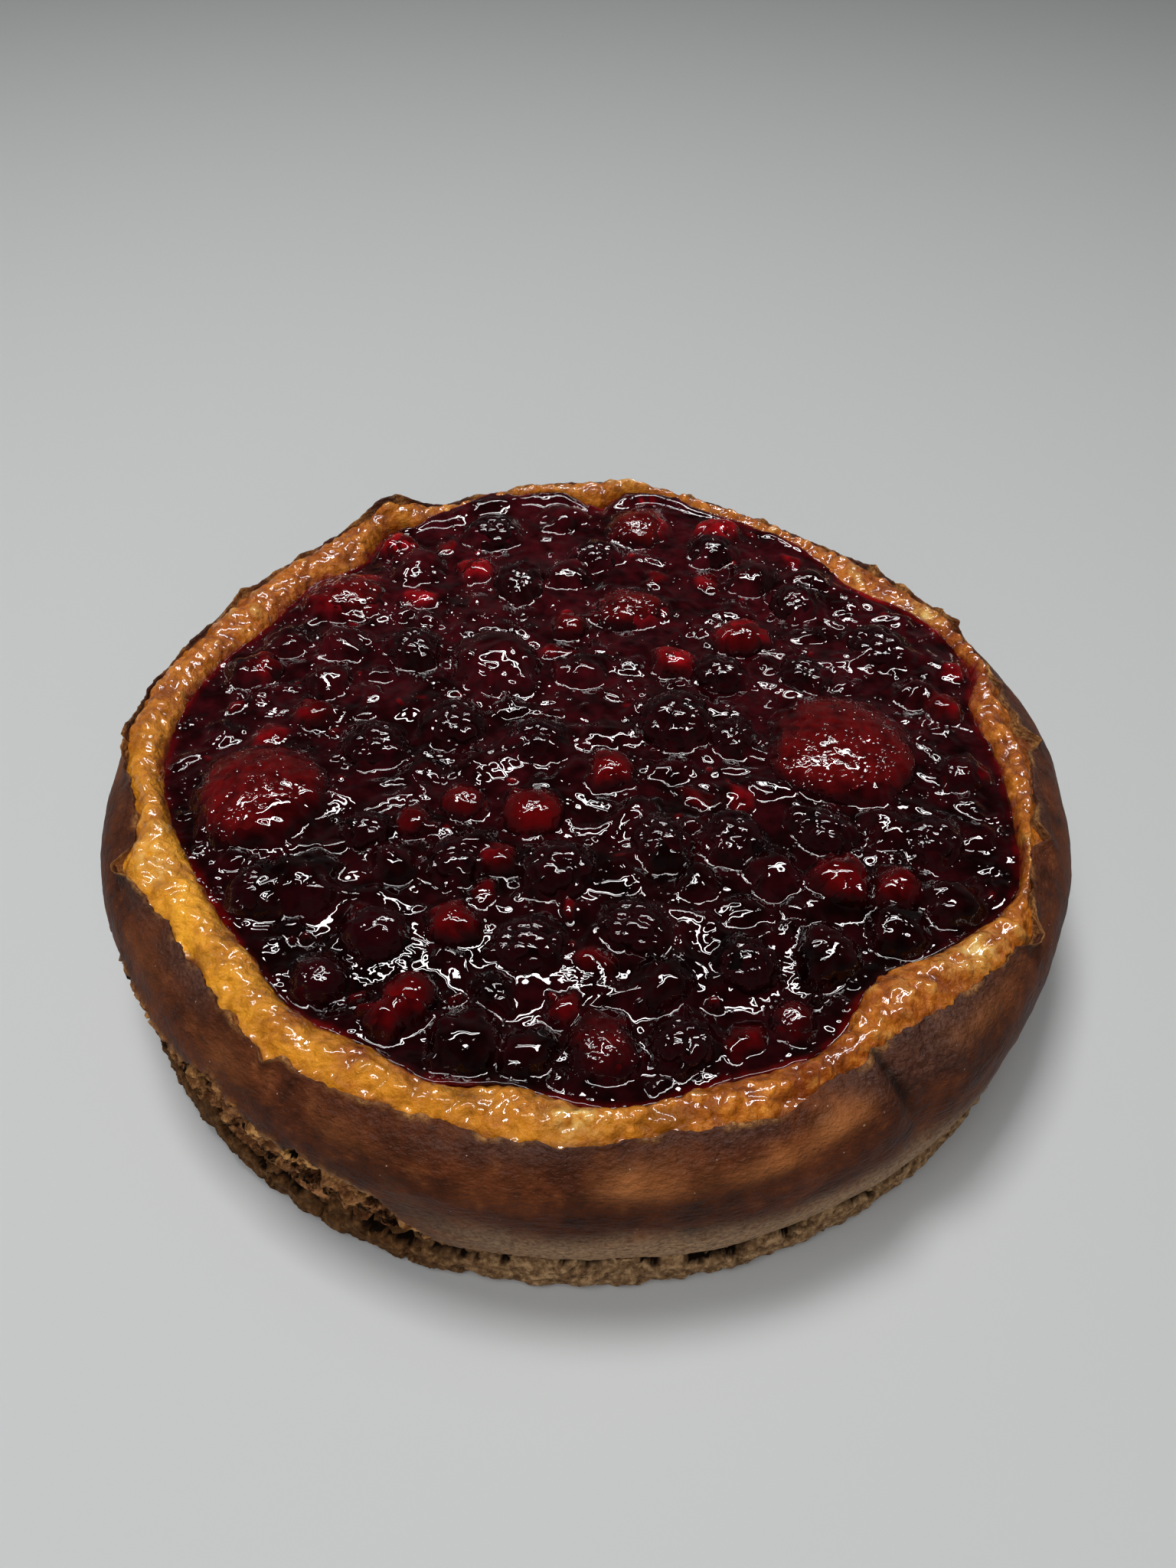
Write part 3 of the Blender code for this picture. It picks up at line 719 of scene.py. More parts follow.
def rim_material():
    """Golden, crumpled, wet-looking rim, with painted shade in its creases and painted light on its crowns.
    """
    make = Finish("golden rim")
    patches = make.noise(120.0, 4.0, 0.6)
    spots = make.noise(380.0, 5.0, 0.65)
    amber = make.steps(
        patches, (0.33, (126, 50, 4)), (0.48, (178, 88, 9)), (0.64, (222, 130, 26)),
    )
    toasted = make.steps(
        spots, (0.34, (96, 36, 4)), (0.50, (174, 86, 9)), (0.66, (242, 160, 66)),
    )
    colour = make.blend(0.5, amber, toasted)
    # Painted shade: darker brown in the low creases. Painted light: paler on the raised crowns.
    colour = make.blend(make.times(make.mark("crease_shade"), 0.9), colour, (118, 46, 4))
    colour = make.blend(make.times(make.mark("crown_light"), 0.45), colour, (240, 184, 92))
    sunny = make.times(make.mark("sunny"), make.steps(patches, (0.35, 0.35), (0.60, 1.0)))
    colour = make.blend(sunny, colour, (255, 176, 44))
    colour = make.blend(make.mark("brown"), colour, (104, 48, 14))
    pale = make.steps(
        spots, (0.36, (206, 124, 36)), (0.50, (238, 178, 78)), (0.62, (250, 212, 136)),
    )
    colour = make.blend(make.mark("pale"), colour, pale)
    stain = make.steps(make.noise(500.0, 3.0), (0.3, (84, 4, 4)), (0.7, (136, 16, 8)))
    colour = make.blend(make.mark("stain"), colour, stain)
    roughness = make.steps(spots, (0.3, 0.30), (0.7, 0.50))
    fine = make.bump(make.noise(1300.0, 3.0, 0.6), 0.0002, 0.6)
    blisters = make.bump(make.steps(make.cells(330.0), (0.1, 1.0), (0.6, 0.0)), 0.0004, 0.5, fine)
    wrinkles = make.bump(make.noise(420.0, 5.0, 0.6), 0.0013, 1.0, blisters)
    make.set(Coat_Weight=0.75, Coat_Roughness=0.05, Specular_IOR_Level=0.15)
    make.set(Subsurface_Weight=0.06, Subsurface_Scale=0.003, Subsurface_Radius=(1.0, 0.5, 0.2))
    return make.finish(colour, roughness, wrinkles)


def biscuit_material():
    """Coarse brown crumb, dusted grey where the skin above it is dusty, with painted shade in its pits,
    cracks and seam holes.
    """
    make = Finish("biscuit crumb")
    grains = make.noise(520.0, 5.0, 0.65)
    broad = make.noise(90.0, 3.0)
    colour = make.steps(
        grains, (0.30, (48, 28, 14)), (0.50, (98, 64, 34)), (0.70, (150, 108, 66)),
    )
    colour = make.blend(make.steps(broad, (0.35, 0.0), (0.7, 0.5)), colour, (80, 54, 32))
    dust = make.steps(
        grains, (0.34, (88, 62, 42)), (0.50, (148, 114, 80)), (0.66, (202, 166, 122)),
    )
    colour = make.blend(make.times(make.mark("dust"), 0.85), colour, dust)
    # Painted shade: near-black where the deep mark lies.
    colour = make.blend(make.mark("deep"), colour, (18, 9, 4))
    grit = make.bump(make.noise(1300.0, 4.0, 0.7), 0.0003, 0.9)
    crumb = make.bump(make.cells(560.0), 0.0005, 0.5, grit)
    make.set(Roughness=0.9, Specular_IOR_Level=0.15)
    return make.finish(colour, None, crumb)


def jelly_material():
    """Wet, near-black red jelly. The tint mark carries what lies under it, how deep, and a painted
    reflection that lightens it towards the back.
    """
    make = Finish("berry jelly")
    cloud = make.steps(make.noise(300.0, 3.0), (0.3, 0.5), (0.7, 1.4))
    broad = make.steps(make.noise(75.0, 2.0), (0.35, 0.45), (0.65, 1.7))
    colour = make.blend(1.0, make.mark("tint", "Color"), cloud, "MULTIPLY")
    colour = make.blend(1.0, colour, broad, "MULTIPLY")
    ripple = make.bump(make.noise(230.0, 1.0, 0.5), 0.0006, 0.35)
    crinkled = make.steps(make.noise(45.0, 1.0), (0.48, 0.0), (0.62, 1.0))
    crinkles = make.times(make.noise(440.0, 1.0, 0.5), crinkled)
    curls = make.bump(crinkles, 0.0005, 0.6, ripple)
    dots = make.steps(make.cells(520.0), (0.0, 1.0), (0.25, 0.0))
    where = make.steps(make.noise(120.0, 1.0), (0.50, 0.0), (0.60, 1.0))
    bubbles = make.times(dots, where)
    normal = make.bump(bubbles, 0.0006, 0.45, curls)
    make.set(Roughness=0.02, Specular_IOR_Level=0.32)
    return make.finish(colour, None, normal)


def fruit_material(name, dark, bright, grain, ripple_scale, ripple, pip_scale, pips):
    """Fruit under a film of jelly: darker towards the jelly, its gloss broken by ripples and pips."""
    make = Finish(name)
    colour = make.steps(make.noise(grain, 4.0, 0.6), (0.32, dark), (0.68, bright))
    colour = make.blend(make.mark("sunk"), colour, (30, 4, 7))
    film = make.bump(make.noise(ripple_scale, 2.0, 0.5), 0.0008, ripple)
    dots = make.steps(make.cells(pip_scale), (0.10, 1.0), (0.42, 0.0))
    where = make.steps(make.noise(200.0, 1.0), (0.40, 0.0), (0.58, 1.0))
    normal = make.bump(make.times(dots, where), 0.0005, pips, film)
    make.set(Roughness=0.04, Specular_IOR_Level=0.30)
    return make.finish(colour, None, normal)


def base_band(degrees):
    """Rough side of the biscuit base, from the underside up, and the painted shade of its pits, cracks and
    seam holes.
    """
    turn = np.radians(degrees)
    heights = np.linspace(0.0, BASE_HEIGHT, BASE_ROWS)
    radii = np.interp(heights, [h for _, h in BASE_SIDE], [r for r, _ in BASE_SIDE])
    wider = 0.9 * tear_opening(degrees)
    radius = radii[:, None] + (0.5 * unevenness(degrees) - 0.3 + wider)[None, :]
    height = np.broadcast_to(heights[:, None], radius.shape)
    band = polar(radius, turn, height)
    rough = 0.8 * NOISE.layers(band, 6.0, 4, 0.65) + 0.3 * NOISE_TOO(band, 1.7)
    pits = smoothstep(0.45, 0.9, NOISE_TOO.layers(band + 11.0, 5.0, 2)) * 2.6
    strata = band * np.array([0.45, 0.45, 1.2]) + 60.0
    cracks = 2.2 * smoothstep(0.78, 0.98, ridges(strata, 5.5))
    flat = band * np.array([1.0, 1.0, 0.0])
    seam_level = BASE_SEAM + 0.9 * NOISE.layers(flat + 83.0, 9.0, 3)
    seam_level = seam_level + 0.7 * NOISE_TOO.layers(band + 35.0, 3.5, 2)
    seam_width = np.maximum(1.0 + 0.7 * NOISE_TOO.layers(flat + 29.0, 4.0, 2), 0.4)
    holes = smoothstep(-0.05, 0.45, NOISE_TOO.layers(band + 29.0, 6.0, 3))
    seam = 3.8 * bell((height - seam_level) / seam_width) * holes
    swell = np.clip(rough - pits - cracks - seam, -5.0, 0.9)
    # Painted shade: dark in the deep pits and cracks and in the seam holes.
    dark = np.maximum(smoothstep(0.9, 2.4, -swell), smoothstep(0.12, 0.7, seam))
    inside = smoothstep(0.0, 1.5, height) * fade(BASE_HEIGHT - 1.5, BASE_HEIGHT, height)
    radius = radius + swell - 1.0 * (1.0 - inside)
    return polar(radius, turn, height), dark


def make_base(material):
    band, deep = base_band(ALL_ROUND)
    points, faces = capped_band(band)
    dust = np.broadcast_to(dusty(ALL_ROUND), deep.shape)
    marks = {
        name: np.append(values.reshape(-1), [0.0, 0.0])
        for name, values in (("deep", deep), ("dust", dust))
    }
    new_piece("biscuit_crumb_base", points, faces, material, "biscuit", ["biscuit_base"], marks)


def tear_opening(degrees):
    """How far the skin hangs torn at an angle, from 0 to 1."""
    begins, full, narrows, ends = TEAR
    return smoothstep(begins, full, degrees) * fade(narrows, ends, degrees)


def dusty(degrees):
    """How dusty the side is at an angle: all round but for the torn stretch and the left."""
    return smoothstep(250.0, 268.0, degrees) + 0.5 * fade(130.0, 170.0, degrees)


def skin_edge_line(degrees, ring):
    """Upper edge of the skin: its radius, how much it curls, and the height of flakes and tips."""
    curl = smoothstep(0.15, 0.75, NOISE_TOO(ring + 5.0, 26.0)) * (0.7 + 0.5 * NOISE(ring + 8.0, 7.0))
    edge = around(SKIN_EDGE, degrees) + 1.0 * NOISE.layers(ring, 12.0, 5, 0.68) - 0.4 * curl
    flake = np.zeros_like(degrees)
    for angle, depth, wide in NOTCHES:
        edge = edge + depth * tent(degrees, angle, wide)
        flake = flake + 1.6 * bell_at(degrees, angle + 1.4 * wide, wide)
    for angle, rise in TIPS:
        flake = flake + rise * tent(degrees, angle, TIP_WIDTH)
    return np.minimum(edge, WIDEST_EDGE), curl, flake


def skin_rows(degrees, crest, edge, edge_height):
    """Smooth outside of the skin, from the foot to its edge: radii, heights and row numbers."""
    pleat = PLEAT_DEPTH * bell_at(degrees, PLEAT_ANGLE, PLEAT_WIDTH)
    radii = []
    heights = []
    for radius, share in SKIN_SIDE:
        folded = pleat * smoothstep(0.2, 0.7, share)
        radii.append(radius + unevenness(degrees) - folded - SKIN_INSET)
        heights.append(FOOT + share * (crest - FOOT))
    radii = np.array(radii + [edge])
    heights = np.array(heights + [edge_height])
    steps = np.linspace(0.0, len(radii) - 1.0, SIDE_ROWS)
    return spline_rows(radii, steps), np.minimum(spline_rows(heights, steps), TALLEST), steps


def torn_ledge(degrees, ring, torn):
    """Height of the skin's lower edge, ragged where it is torn."""
    ledge = around(LEDGE, degrees) + (0.7 + 1.1 * torn) * NOISE_TOO.layers(ring + 3.0, 9.0, 5, 0.7)
    return ledge + torn * (0.9 * NOISE(ring + 12.0, 2.6) + 0.6 * NOISE_TOO(ring + 6.0, 1.3))


def bare_crumb(degrees, spot, ring, ledge, torn):
    """Radius of the crumb under the skin's lower edge, and how far it stands out, in mm."""
    height = spot[..., 2]
    squashed = spot * np.array([0.8, 0.8, 1.3])
    strata = spot * np.array([0.4, 0.4, 1.5]) + 5.0
    chunks = 2.3 * NOISE.layers(squashed + 50.0, 8.0, 5, 0.66)
    cracks = 3.4 * smoothstep(0.66, 0.95, ridges(squashed + 25.0, 9.0, NOISE_TOO))
    cracks = cracks + 2.2 * smoothstep(0.60, 0.95, ridges(strata, 5.0))
    holes = 4.0 * smoothstep(0.42, 0.80, NOISE_TOO.layers(squashed + 90.0, 10.0, 2))
    angle, level, wide, tall = BIG_HOLE
    big_hole = 4.5 * bell(np.hypot(angle_gap(degrees, angle) / wide, (height - level) / tall)) * torn
    layer = NOISE.layers(ring + 61.0, 11.0, 3, 0.6)
    seam = 1.8 * bell((height - SEAM_LEVEL - 0.7 * layer) / 0.9)
    split = 2.6 * torn * bell(height - SPLIT_LEVEL - 2.2 * layer) * smoothstep(-0.2, 0.3, layer)
    rough = np.clip(chunks - cracks - holes - big_hole - seam - split, -7.0, 1.4)
    shelf = 1.8 * bell((height - ledge + 5.5) / 3.0) - 3.4 * bell((height - ledge + 0.9) / 1.1)
    radius = mix(*BARE_RADIUS, torn) - 0.05 * torn * (height - BASE_HEIGHT) + torn * shelf
    return radius + rough, rough


def side_band(degrees):
    """Outside of the filling, from the foot to the edge of the dark skin: points and marks."""
    turn = np.radians(degrees)
    ring = polar(SKIN_RING, turn, 0.0)
    crest = around(CREST, degrees)
    flap = FLAP_RISE * bell_at(degrees, FLAP_ANGLE, FLAP_WIDTH)
    edge, curl, flake = skin_edge_line(degrees, ring)
    edge_height = np.minimum(crest - OUTER_DROP + 0.6 + 1.5 * flap + 2.1 * curl + flake, TALLEST)
    radius, height, steps = skin_rows(degrees, crest, edge, edge_height)
    spot = polar(radius, turn, height)
    share = (height - FOOT) / (crest - FOOT)
    torn = tear_opening(degrees)
    ledge = torn_ledge(degrees, ring, torn)
    under = fade(-0.3, 0.3, height - ledge)
    frayed = smoothstep(-0.5, 0.3, NOISE.layers(ring + 27.0, 4.0, 3))
    near_lip = bell((height - ledge) / 1.5) * (1.0 - under) * frayed
    puckered = bell_at(degrees, *PUCKER) * smoothstep(0.70, 0.85, share)
    puckers = puckered + 0.6 * smoothstep(0.84, 0.94, share)
    puckers = 0.7 * puckers * ridges(spot + 19.0, 4.5, NOISE_TOO)
    fold_angle = PLEAT_ANGLE - 2.5 + 5.0 * (0.9 - share)
    fold = bell_at(degrees, fold_angle, 0.75) * smoothstep(0.55, 0.85, share)
    soft = 0.45 * NOISE.layers(spot, 26.0, 2) + 0.20 * NOISE_TOO.layers(spot, 8.0, 3, 0.55)
    streaks = 0.10 * NOISE(spot * np.array([1.0, 1.0, 3.0]), 5.0)
    calm = 1.0 - 0.7 * smoothstep(0.8, 1.0, steps / steps[-1])
    skin = radius + (soft + streaks) * calm[:, None] - puckers - 1.8 * fold + 0.9 * near_lip * torn
    bare, rough = bare_crumb(degrees, spot, ring, ledge, torn)
    bare = np.minimum(bare, np.minimum(skin + 0.6 * torn - 0.3, WIDEST_SKIN - 0.1))
    radius = np.minimum(mix(skin, bare, under), WIDEST_SKIN)
    spot = polar(radius, turn, height)
    top = smoothstep(steps[-1] - 0.8, steps[-1], steps)[:, None]
    patchy = smoothstep(-0.1, 0.6, NOISE(ring + 44.0, 9.0))
    # The lip mark is tan: the broken lip over the bare crumb, and along the skin's upper edge and its
    # flakes a painted highlight as well.
    lip_and_highlight = 0.9 * near_lip * torn + smoothstep(0.7, 1.0, top) * (0.7 * patchy + 0.4 * flake)
    # Painted shadow: a dark band just under the torn lower edge of the skin.
    ledge_shadow = torn * bell((height - ledge + 1.6) / 1.1)
    ledge_shadow = ledge_shadow * smoothstep(-0.35, 0.15, NOISE.layers(ring + 73.0, 5.0, 2))
    violet = smoothstep(0.86, 0.95, share) * smoothstep(-0.4, 0.4, NOISE(spot + 81.0, 18.0)) + puckered
    dust_top = ledge + 17.0 + 3.0 * NOISE(ring + 71.0, 30.0)
    dust = fade(dust_top - 9.0, dust_top + 3.0, height) * dusty(degrees)
    marks = {
        "bare": under,
        "glow": side_glow(degrees, share, spot) * (1.0 - under),
        "dust": dust * (1.0 - under),
        "toast_and_light": np.clip(under * torn * toasted_and_lit_crumb(spot, ledge, rough), 0.0, 1.0),
        "lip_and_highlight": np.clip(lip_and_highlight, 0.0, 1.0),
        # The deep mark is painted shade: dark in the bare crumb's recesses, in the shadow under the torn
        # edge and in the pleat's crease.
        "deep": np.clip(under * smoothstep(1.2, 3.4, -rough) + 0.9 * ledge_shadow + 0.8 * fold, 0.0, 1.0),
        "purple": (1.0 - under) * np.clip(0.8 * violet, 0.0, 0.9),
    }
    return spot, marks


def toasted_and_lit_crumb(spot, ledge, rough):
    """How golden the bare crumb is: toasted under the skin, with painted light on the top of the shelf
    below it and where it stands out.
    """
    below = spot[..., 2] - ledge
    broken = smoothstep(-0.3, 0.5, NOISE_TOO.layers(spot + 33.0, 8.0, 3, 0.6))
    lit_shelf_edge = bell((below + 4.5) / 2.4) * smoothstep(-0.4, 0.3, NOISE(spot + 66.0, 5.0))
    toasted = 0.75 * smoothstep(-13.0, -5.0, below) * broken
    # Painted light where the crumb stands out and on the shelf's top; the rest is toasted colour.
    return toasted + 0.5 * smoothstep(0.4, 1.4, rough) + 0.7 * lit_shelf_edge


def side_glow(degrees, share, spot):
    """How orange the skin is, from 0 to 0.9."""
    glow = np.zeros_like(share)
    for angle, level, wide, tall, strength in GLOW_SPOTS:
        glow += strength * bell(np.hypot(angle_gap(degrees, angle) / wide, (share - level) / tall))
    broken = 0.85 + 0.35 * NOISE_TOO.layers(spot + 7.0, 14.0, 3, 0.6)
    return 0.9 * smoothstep(0.0, 1.0, glow * broken)


def make_side(material):
    turn = np.radians(ALL_ROUND)
    band, marks = side_band(ALL_ROUND)
    edge = band[-1]
    radius = np.hypot(edge[:, 0], edge[:, 1])
    inner = [
        polar(radius - inward, turn, edge[:, 2] - down)
        for inward, down in ((0.3, 0.2), (0.45, 0.9), (0.8, 2.0))
    ]
    hidden = np.minimum(around(TOPPING_EDGE, ALL_ROUND), radius) - 2.0
    inner.append(polar(hidden, turn, RECESS_FLOOR + 1.0))
    full = {}
    for name, values in marks.items():
        values = np.broadcast_to(values, (SIDE_ROWS, SIDE_COLUMNS))
        extra = np.repeat(values[-1:], len(inner), axis=0)
        full[name] = np.append(np.concatenate([values, extra]).reshape(-1), [0.0, 0.0])
    points, faces = capped_band(np.concatenate([band, np.array(inner)]))
    new_piece("dark_baked_side", points, faces, material, "crust", ["cheesecake"], full)


def rim_outline(degrees, width):
    """Rows of the smooth rim, from under the skin to the recess: radii and heights."""
    crest = around(CREST, degrees)
    skin_edge = around(SKIN_EDGE, degrees)
    topping_edge = around(TOPPING_EDGE, degrees)
    flap = FLAP_RISE * bell_at(degrees, FLAP_ANGLE, FLAP_WIDTH)
    outer = crest - OUTER_DROP
    level = topping_level(topping_edge * np.sin(np.radians(degrees)))
    outline = (
        (np.maximum(np.minimum(skin_edge + 5.5, 124.8), skin_edge), outer - 4.2),
        (np.maximum(np.minimum(skin_edge + 2.5, 122.8), skin_edge - 0.1), outer - 2.0),
        (skin_edge - 0.8, outer - 0.3 + flap),
        (skin_edge - 0.42 * width, crest + 0.4 * flap),
        (topping_edge + 0.22 * width, crest - INNER_DROP),
        (topping_edge, level - 0.6),
        (topping_edge - 0.8, level - 4.0),
        (topping_edge - 1.2, np.full_like(crest, RECESS_FLOOR + 2.0)),
    )
    return np.array([row[0] for row in outline]), np.array([row[1] for row in outline])


def rim_lift(spot):
    """Blisters, lumps and creases of the rim, in mm."""
    flat = spot * np.array([1.0, 1.0, 0.35])
    warp = 1.6 * NOISE_TOO(flat + 15.0, 5.0)
    large, small = BLISTERS
    blister = cells(spot[..., 0] + warp, spot[..., 1] - warp, large, 3)
    bubble = cells(spot[..., 0] + 40.0 - warp, spot[..., 1] + warp, small, 4)
    domes = 1.0 * fade(0.0, 0.75, blister) + 0.5 * fade(0.0, 0.8, bubble)
    rough = 0.6 * NOISE.layers(flat, 13.0, 2) + 0.55 * NOISE_TOO.layers(flat, 4.4, 4, 0.6)
    creases = 1.1 * ridges(flat + 12.0, 8.0) + 0.5 * ridges(flat + 30.0, 4.0, NOISE_TOO)
    patchy = smoothstep(-0.5, 0.5, NOISE(flat + 70.0, 16.0))
    return rough + domes * mix(0.3, 1.0, patchy) - creases * mix(1.0, 0.5, patchy) - 0.1


def rim_band(degrees):
    """Golden rim, from under the skin's edge over the crest and down into the recess."""
    turn = np.radians(degrees)
    topping_edge = around(TOPPING_EDGE, degrees)
    width = around(SKIN_EDGE, degrees) - topping_edge
    # Rows of the outline at which points lie: denser over the rim than under skin and jelly.
    steps = np.concatenate([[0.0], np.linspace(0.6, 5.8, RIM_ROWS - 3), [6.4, 7.0]])
    radius, height = [spline_rows(rows, steps) for rows in rim_outline(degrees, width)]
    spot = polar(radius, turn, height)
    lift = rim_lift(spot)
    shown = smoothstep(1.1, 2.2, steps) * fade(5.4, 6.4, steps)
    lump = LUMP_RISE * rim_spot(degrees, (radius - topping_edge) / width, width, radius, *LUMP_SPOT)
    height = np.minimum(height + (lift + lump) * shown[:, None], TALLEST)
    flat = spot * np.array([1.0, 1.0, 0.35])
    radius = radius + 0.3 * shown[:, None] * NOISE(flat + 20.0, 4.0)
    radius, height = tucked_under_skin(degrees, radius, height)
    spot = polar(radius, turn, height)
    share = (radius - topping_edge) / width
    pale = sum(rim_spot(degrees, share, width, radius, *place) for place in PALE_SPOTS)
    stains = sum(rim_spot(degrees, share, width, radius, *place) for place in STAIN_SPOTS)
    stain = 0.85 * fade(-0.6, 1.4, radius - topping_edge - 1.2 * NOISE(spot, 5.0)) + 0.9 * stains
    brown = smoothstep(0.80, 1.0, share) * smoothstep(-0.4, 0.4, NOISE.layers(spot + 9.0, 6.0, 2))
    brown = brown + 0.5 * smoothstep(0.35, 0.8, NOISE_TOO.layers(spot + 51.0, 9.0, 3))
    ragged = 0.6 + 0.8 * NOISE_TOO.layers(spot + 31.0, 3.0, 2)
    sunny = sum(strength * bell_at(degrees, angle, wide) for angle, wide, strength in SUNNY)
    marks = {
        "pale": np.clip(pale * ragged, 0.0, 1.0),
        "stain": np.clip(stain * (0.6 + ragged * 0.6), 0.0, 1.0),
        "brown": np.clip(0.8 * brown, 0.0, 1.0),
        "sunny": np.broadcast_to(sunny, share.shape),
        # Painted shade in the low creases and painted light on the raised crowns, both read from the lift.
        "crease_shade": fade(-1.3, 0.1, lift),
        "crown_light": smoothstep(0.5, 1.5, lift),
    }
    return spot, marks


def tucked_under_skin(degrees, radius, height):
    """Radii and heights of the rim's points, moved wherever they would stand out through the skin."""
    skin, _ = side_band(degrees)
    skin_radius = np.hypot(skin[..., 0], skin[..., 1])
    drawn_in = radius.copy()
    lowered = height.copy()
    for column in range(len(degrees)):
        upper = slice(int(np.argmax(skin_radius[:, column])), None)
        outline = np.maximum.accumulate(skin_radius[upper, column][::-1])
        level = np.interp(radius[:, column] + SKIN_COVER, outline, skin[upper, column, 2][::-1])
        outside = radius[:, column] - outline[0]
        level = level - SKIN_COVER * (0.5 + 2.5 * smoothstep(0.4, 2.5, outside))
        covered = outside > 0.1
        lowered[covered, column] = np.minimum(height[covered, column], level[covered])
        rising = np.maximum.accumulate(skin[upper, column, 2])
        limit = np.interp(lowered[:, column], rising, skin_radius[upper, column]) - SKIN_COVER
        below = lowered[:, column] < rising[-1]
        drawn_in[below, column] = np.minimum(radius[below, column], limit[below])
    return drawn_in, lowered


def rim_spot(degrees, share, width, radius, angle, level_share, reach):
    """Smooth spot on the rim, 1 at its centre."""
    along = np.radians(angle_gap(degrees, angle)) * radius
    across = (share - level_share) * width
    return bell(np.hypot(along / reach, across / (0.7 * reach)))


def make_rim(material):
    band, marks = rim_band(ALL_ROUND)
    full = {name: np.broadcast_to(values, band.shape[:2]).reshape(-1) for name, values in marks.items()}
    points, faces = closed_ring(band)
    new_piece("golden_rim", points, faces, material, "crust", ["cheesecake"], full)


def fruit_place(x, y, length, width, rise):
    top = topping_level(y) + rise
    height = min(FRUIT_FLATNESS * width, top - FRUIT_FOOT)
    return (x, y, top - 0.5 * height), (length, width, height)


def whole_fruit():
    """Fruit with nodes of its own: name, kind, centre, size and turn."""
    for table, kind in ((STRAWBERRIES, "strawberry"), (CHERRIES, "cherry"), (BRAMBLES, "bramble")):
        for name, x, y, length, width, rise, turn in table:
            spot, size = fruit_place(x, y, length, width, rise)
            yield name, kind, spot, size, turn


def reach(spot_size_turn, heading):
    _, size, turn = spot_size_turn
    angle = heading - math.radians(turn)
    length, width = size[0], size[1]
    return 0.5 * WIDEST * length * width / math.hypot(width * math.cos(angle), length * math.sin(angle))


def clear_place(x, y, half, fruit):
    """Where a small fruit ends up once whole fruit and the rim have pushed it clear, or None."""
    for _ in range(PUSHES):
        moved = False
        for other in fruit:
            spot = other[0]
            apart = math.hypot(x - spot[0], y - spot[1])
            heading = math.atan2(y - spot[1], x - spot[0])
            short = reach(other, heading) + half + CLEARANCE - apart
            if short > 0.0:
                x += short * math.cos(heading)
                y += short * math.sin(heading)
                moved = True
        heading = math.atan2(y, x)
        short = math.hypot(x, y) + half + EDGE_CLEARANCE - around(TOPPING_EDGE, math.degrees(heading))
        if short > 0.0:
            x -= short * math.cos(heading)
            y -= short * math.sin(heading)
            moved = True
        if not moved:
            return x, y
    return None


def small_fruit():
    """Fruit fused to the jelly in the solids, at the same places: kind, centre, size and turn."""
    fruit = [(spot, size, turn) for _, _, spot, size, turn in whole_fruit()]
    chance = random.Random(SMALL_SEED)
    for kind, x, y, width in SMALL_FRUIT:
        width *= SUNKEN_WIDTH
        length = width * chance.uniform(1.0, 1.12)
        turn = chance.uniform(0.0, 180.0)
        place = clear_place(x, y, 0.5 * length, fruit)
        if place:
            spot, size = fruit_place(*place, length, width, FRUIT_RISE[kind] * width)
            yield kind, spot, size, turn


def scattered_fruit(taken):
    """More small fruit between the rest, down to pips, by seeded trial."""
    chance = random.Random(SCATTER_SEED)
    placed = [(spot[0], spot[1], 0.25 * (size[0] + size[1])) for spot, size in taken]
    found = []
    for low, high, tries, overlap in SCATTER_ROUNDS:
        for _ in range(tries):
            radius = chance.uniform(low, high)
            distance = SCATTER_REACH * math.sqrt(chance.random())
            angle = chance.uniform(0.0, 360.0)
            kind = chance.choice(SCATTER_KINDS)
            turn = chance.uniform(0.0, 180.0)
            longer = chance.uniform(1.0, 1.5)
            if distance + radius + SCATTER_MARGIN > float(around(TOPPING_EDGE, angle)):
                continue
            x = distance * math.cos(math.radians(angle))
            y = distance * math.sin(math.radians(angle))
            if all(math.hypot(x - px, y - py) > overlap * (radius + other) for px, py, other in placed):
                placed.append((x, y, radius))
                found.append((kind, x, y, radius, turn, longer))
    return found


def disc_mesh(rings):
    """Even triangles over a unit disc: points by ring share and angle, and faces."""
    shares = [0.0]
    angles = [0.0]
    starts = [0]
    for number in range(1, rings + 1):
        starts.append(len(shares))
        count = 6 * number
        shares.extend([number / rings] * count)
        angles.extend(360.0 * np.arange(count) / count)
    faces = []
    for number in range(1, rings + 1):
        outer = starts[number]
        count = 6 * number
        inner = starts[number - 1]
        before = max(6 * (number - 1), 1)
        for side in range(6):
            first_out = side * number
            first_in = side * (number - 1)
            for step in range(number):
                a = outer + first_out + step
                b = outer + (first_out + step + 1) % count
                c = inner + (first_in + step) % before
                faces.append((c, a, b))
                if step < number - 1:
                    faces.append((c, b, inner + (first_in + step + 1) % before))
    return np.array(shares), np.array(angles), np.array(faces), starts[-1]


def smooth_max(first, second, reach_mm):
    """Larger of two heights, with a fillet where they meet."""
    blend = np.clip(0.5 + 0.5 * (first - second) / reach_mm, 0.0, 1.0)
    return mix(second, first, blend) + reach_mm * blend * (1.0 - blend)


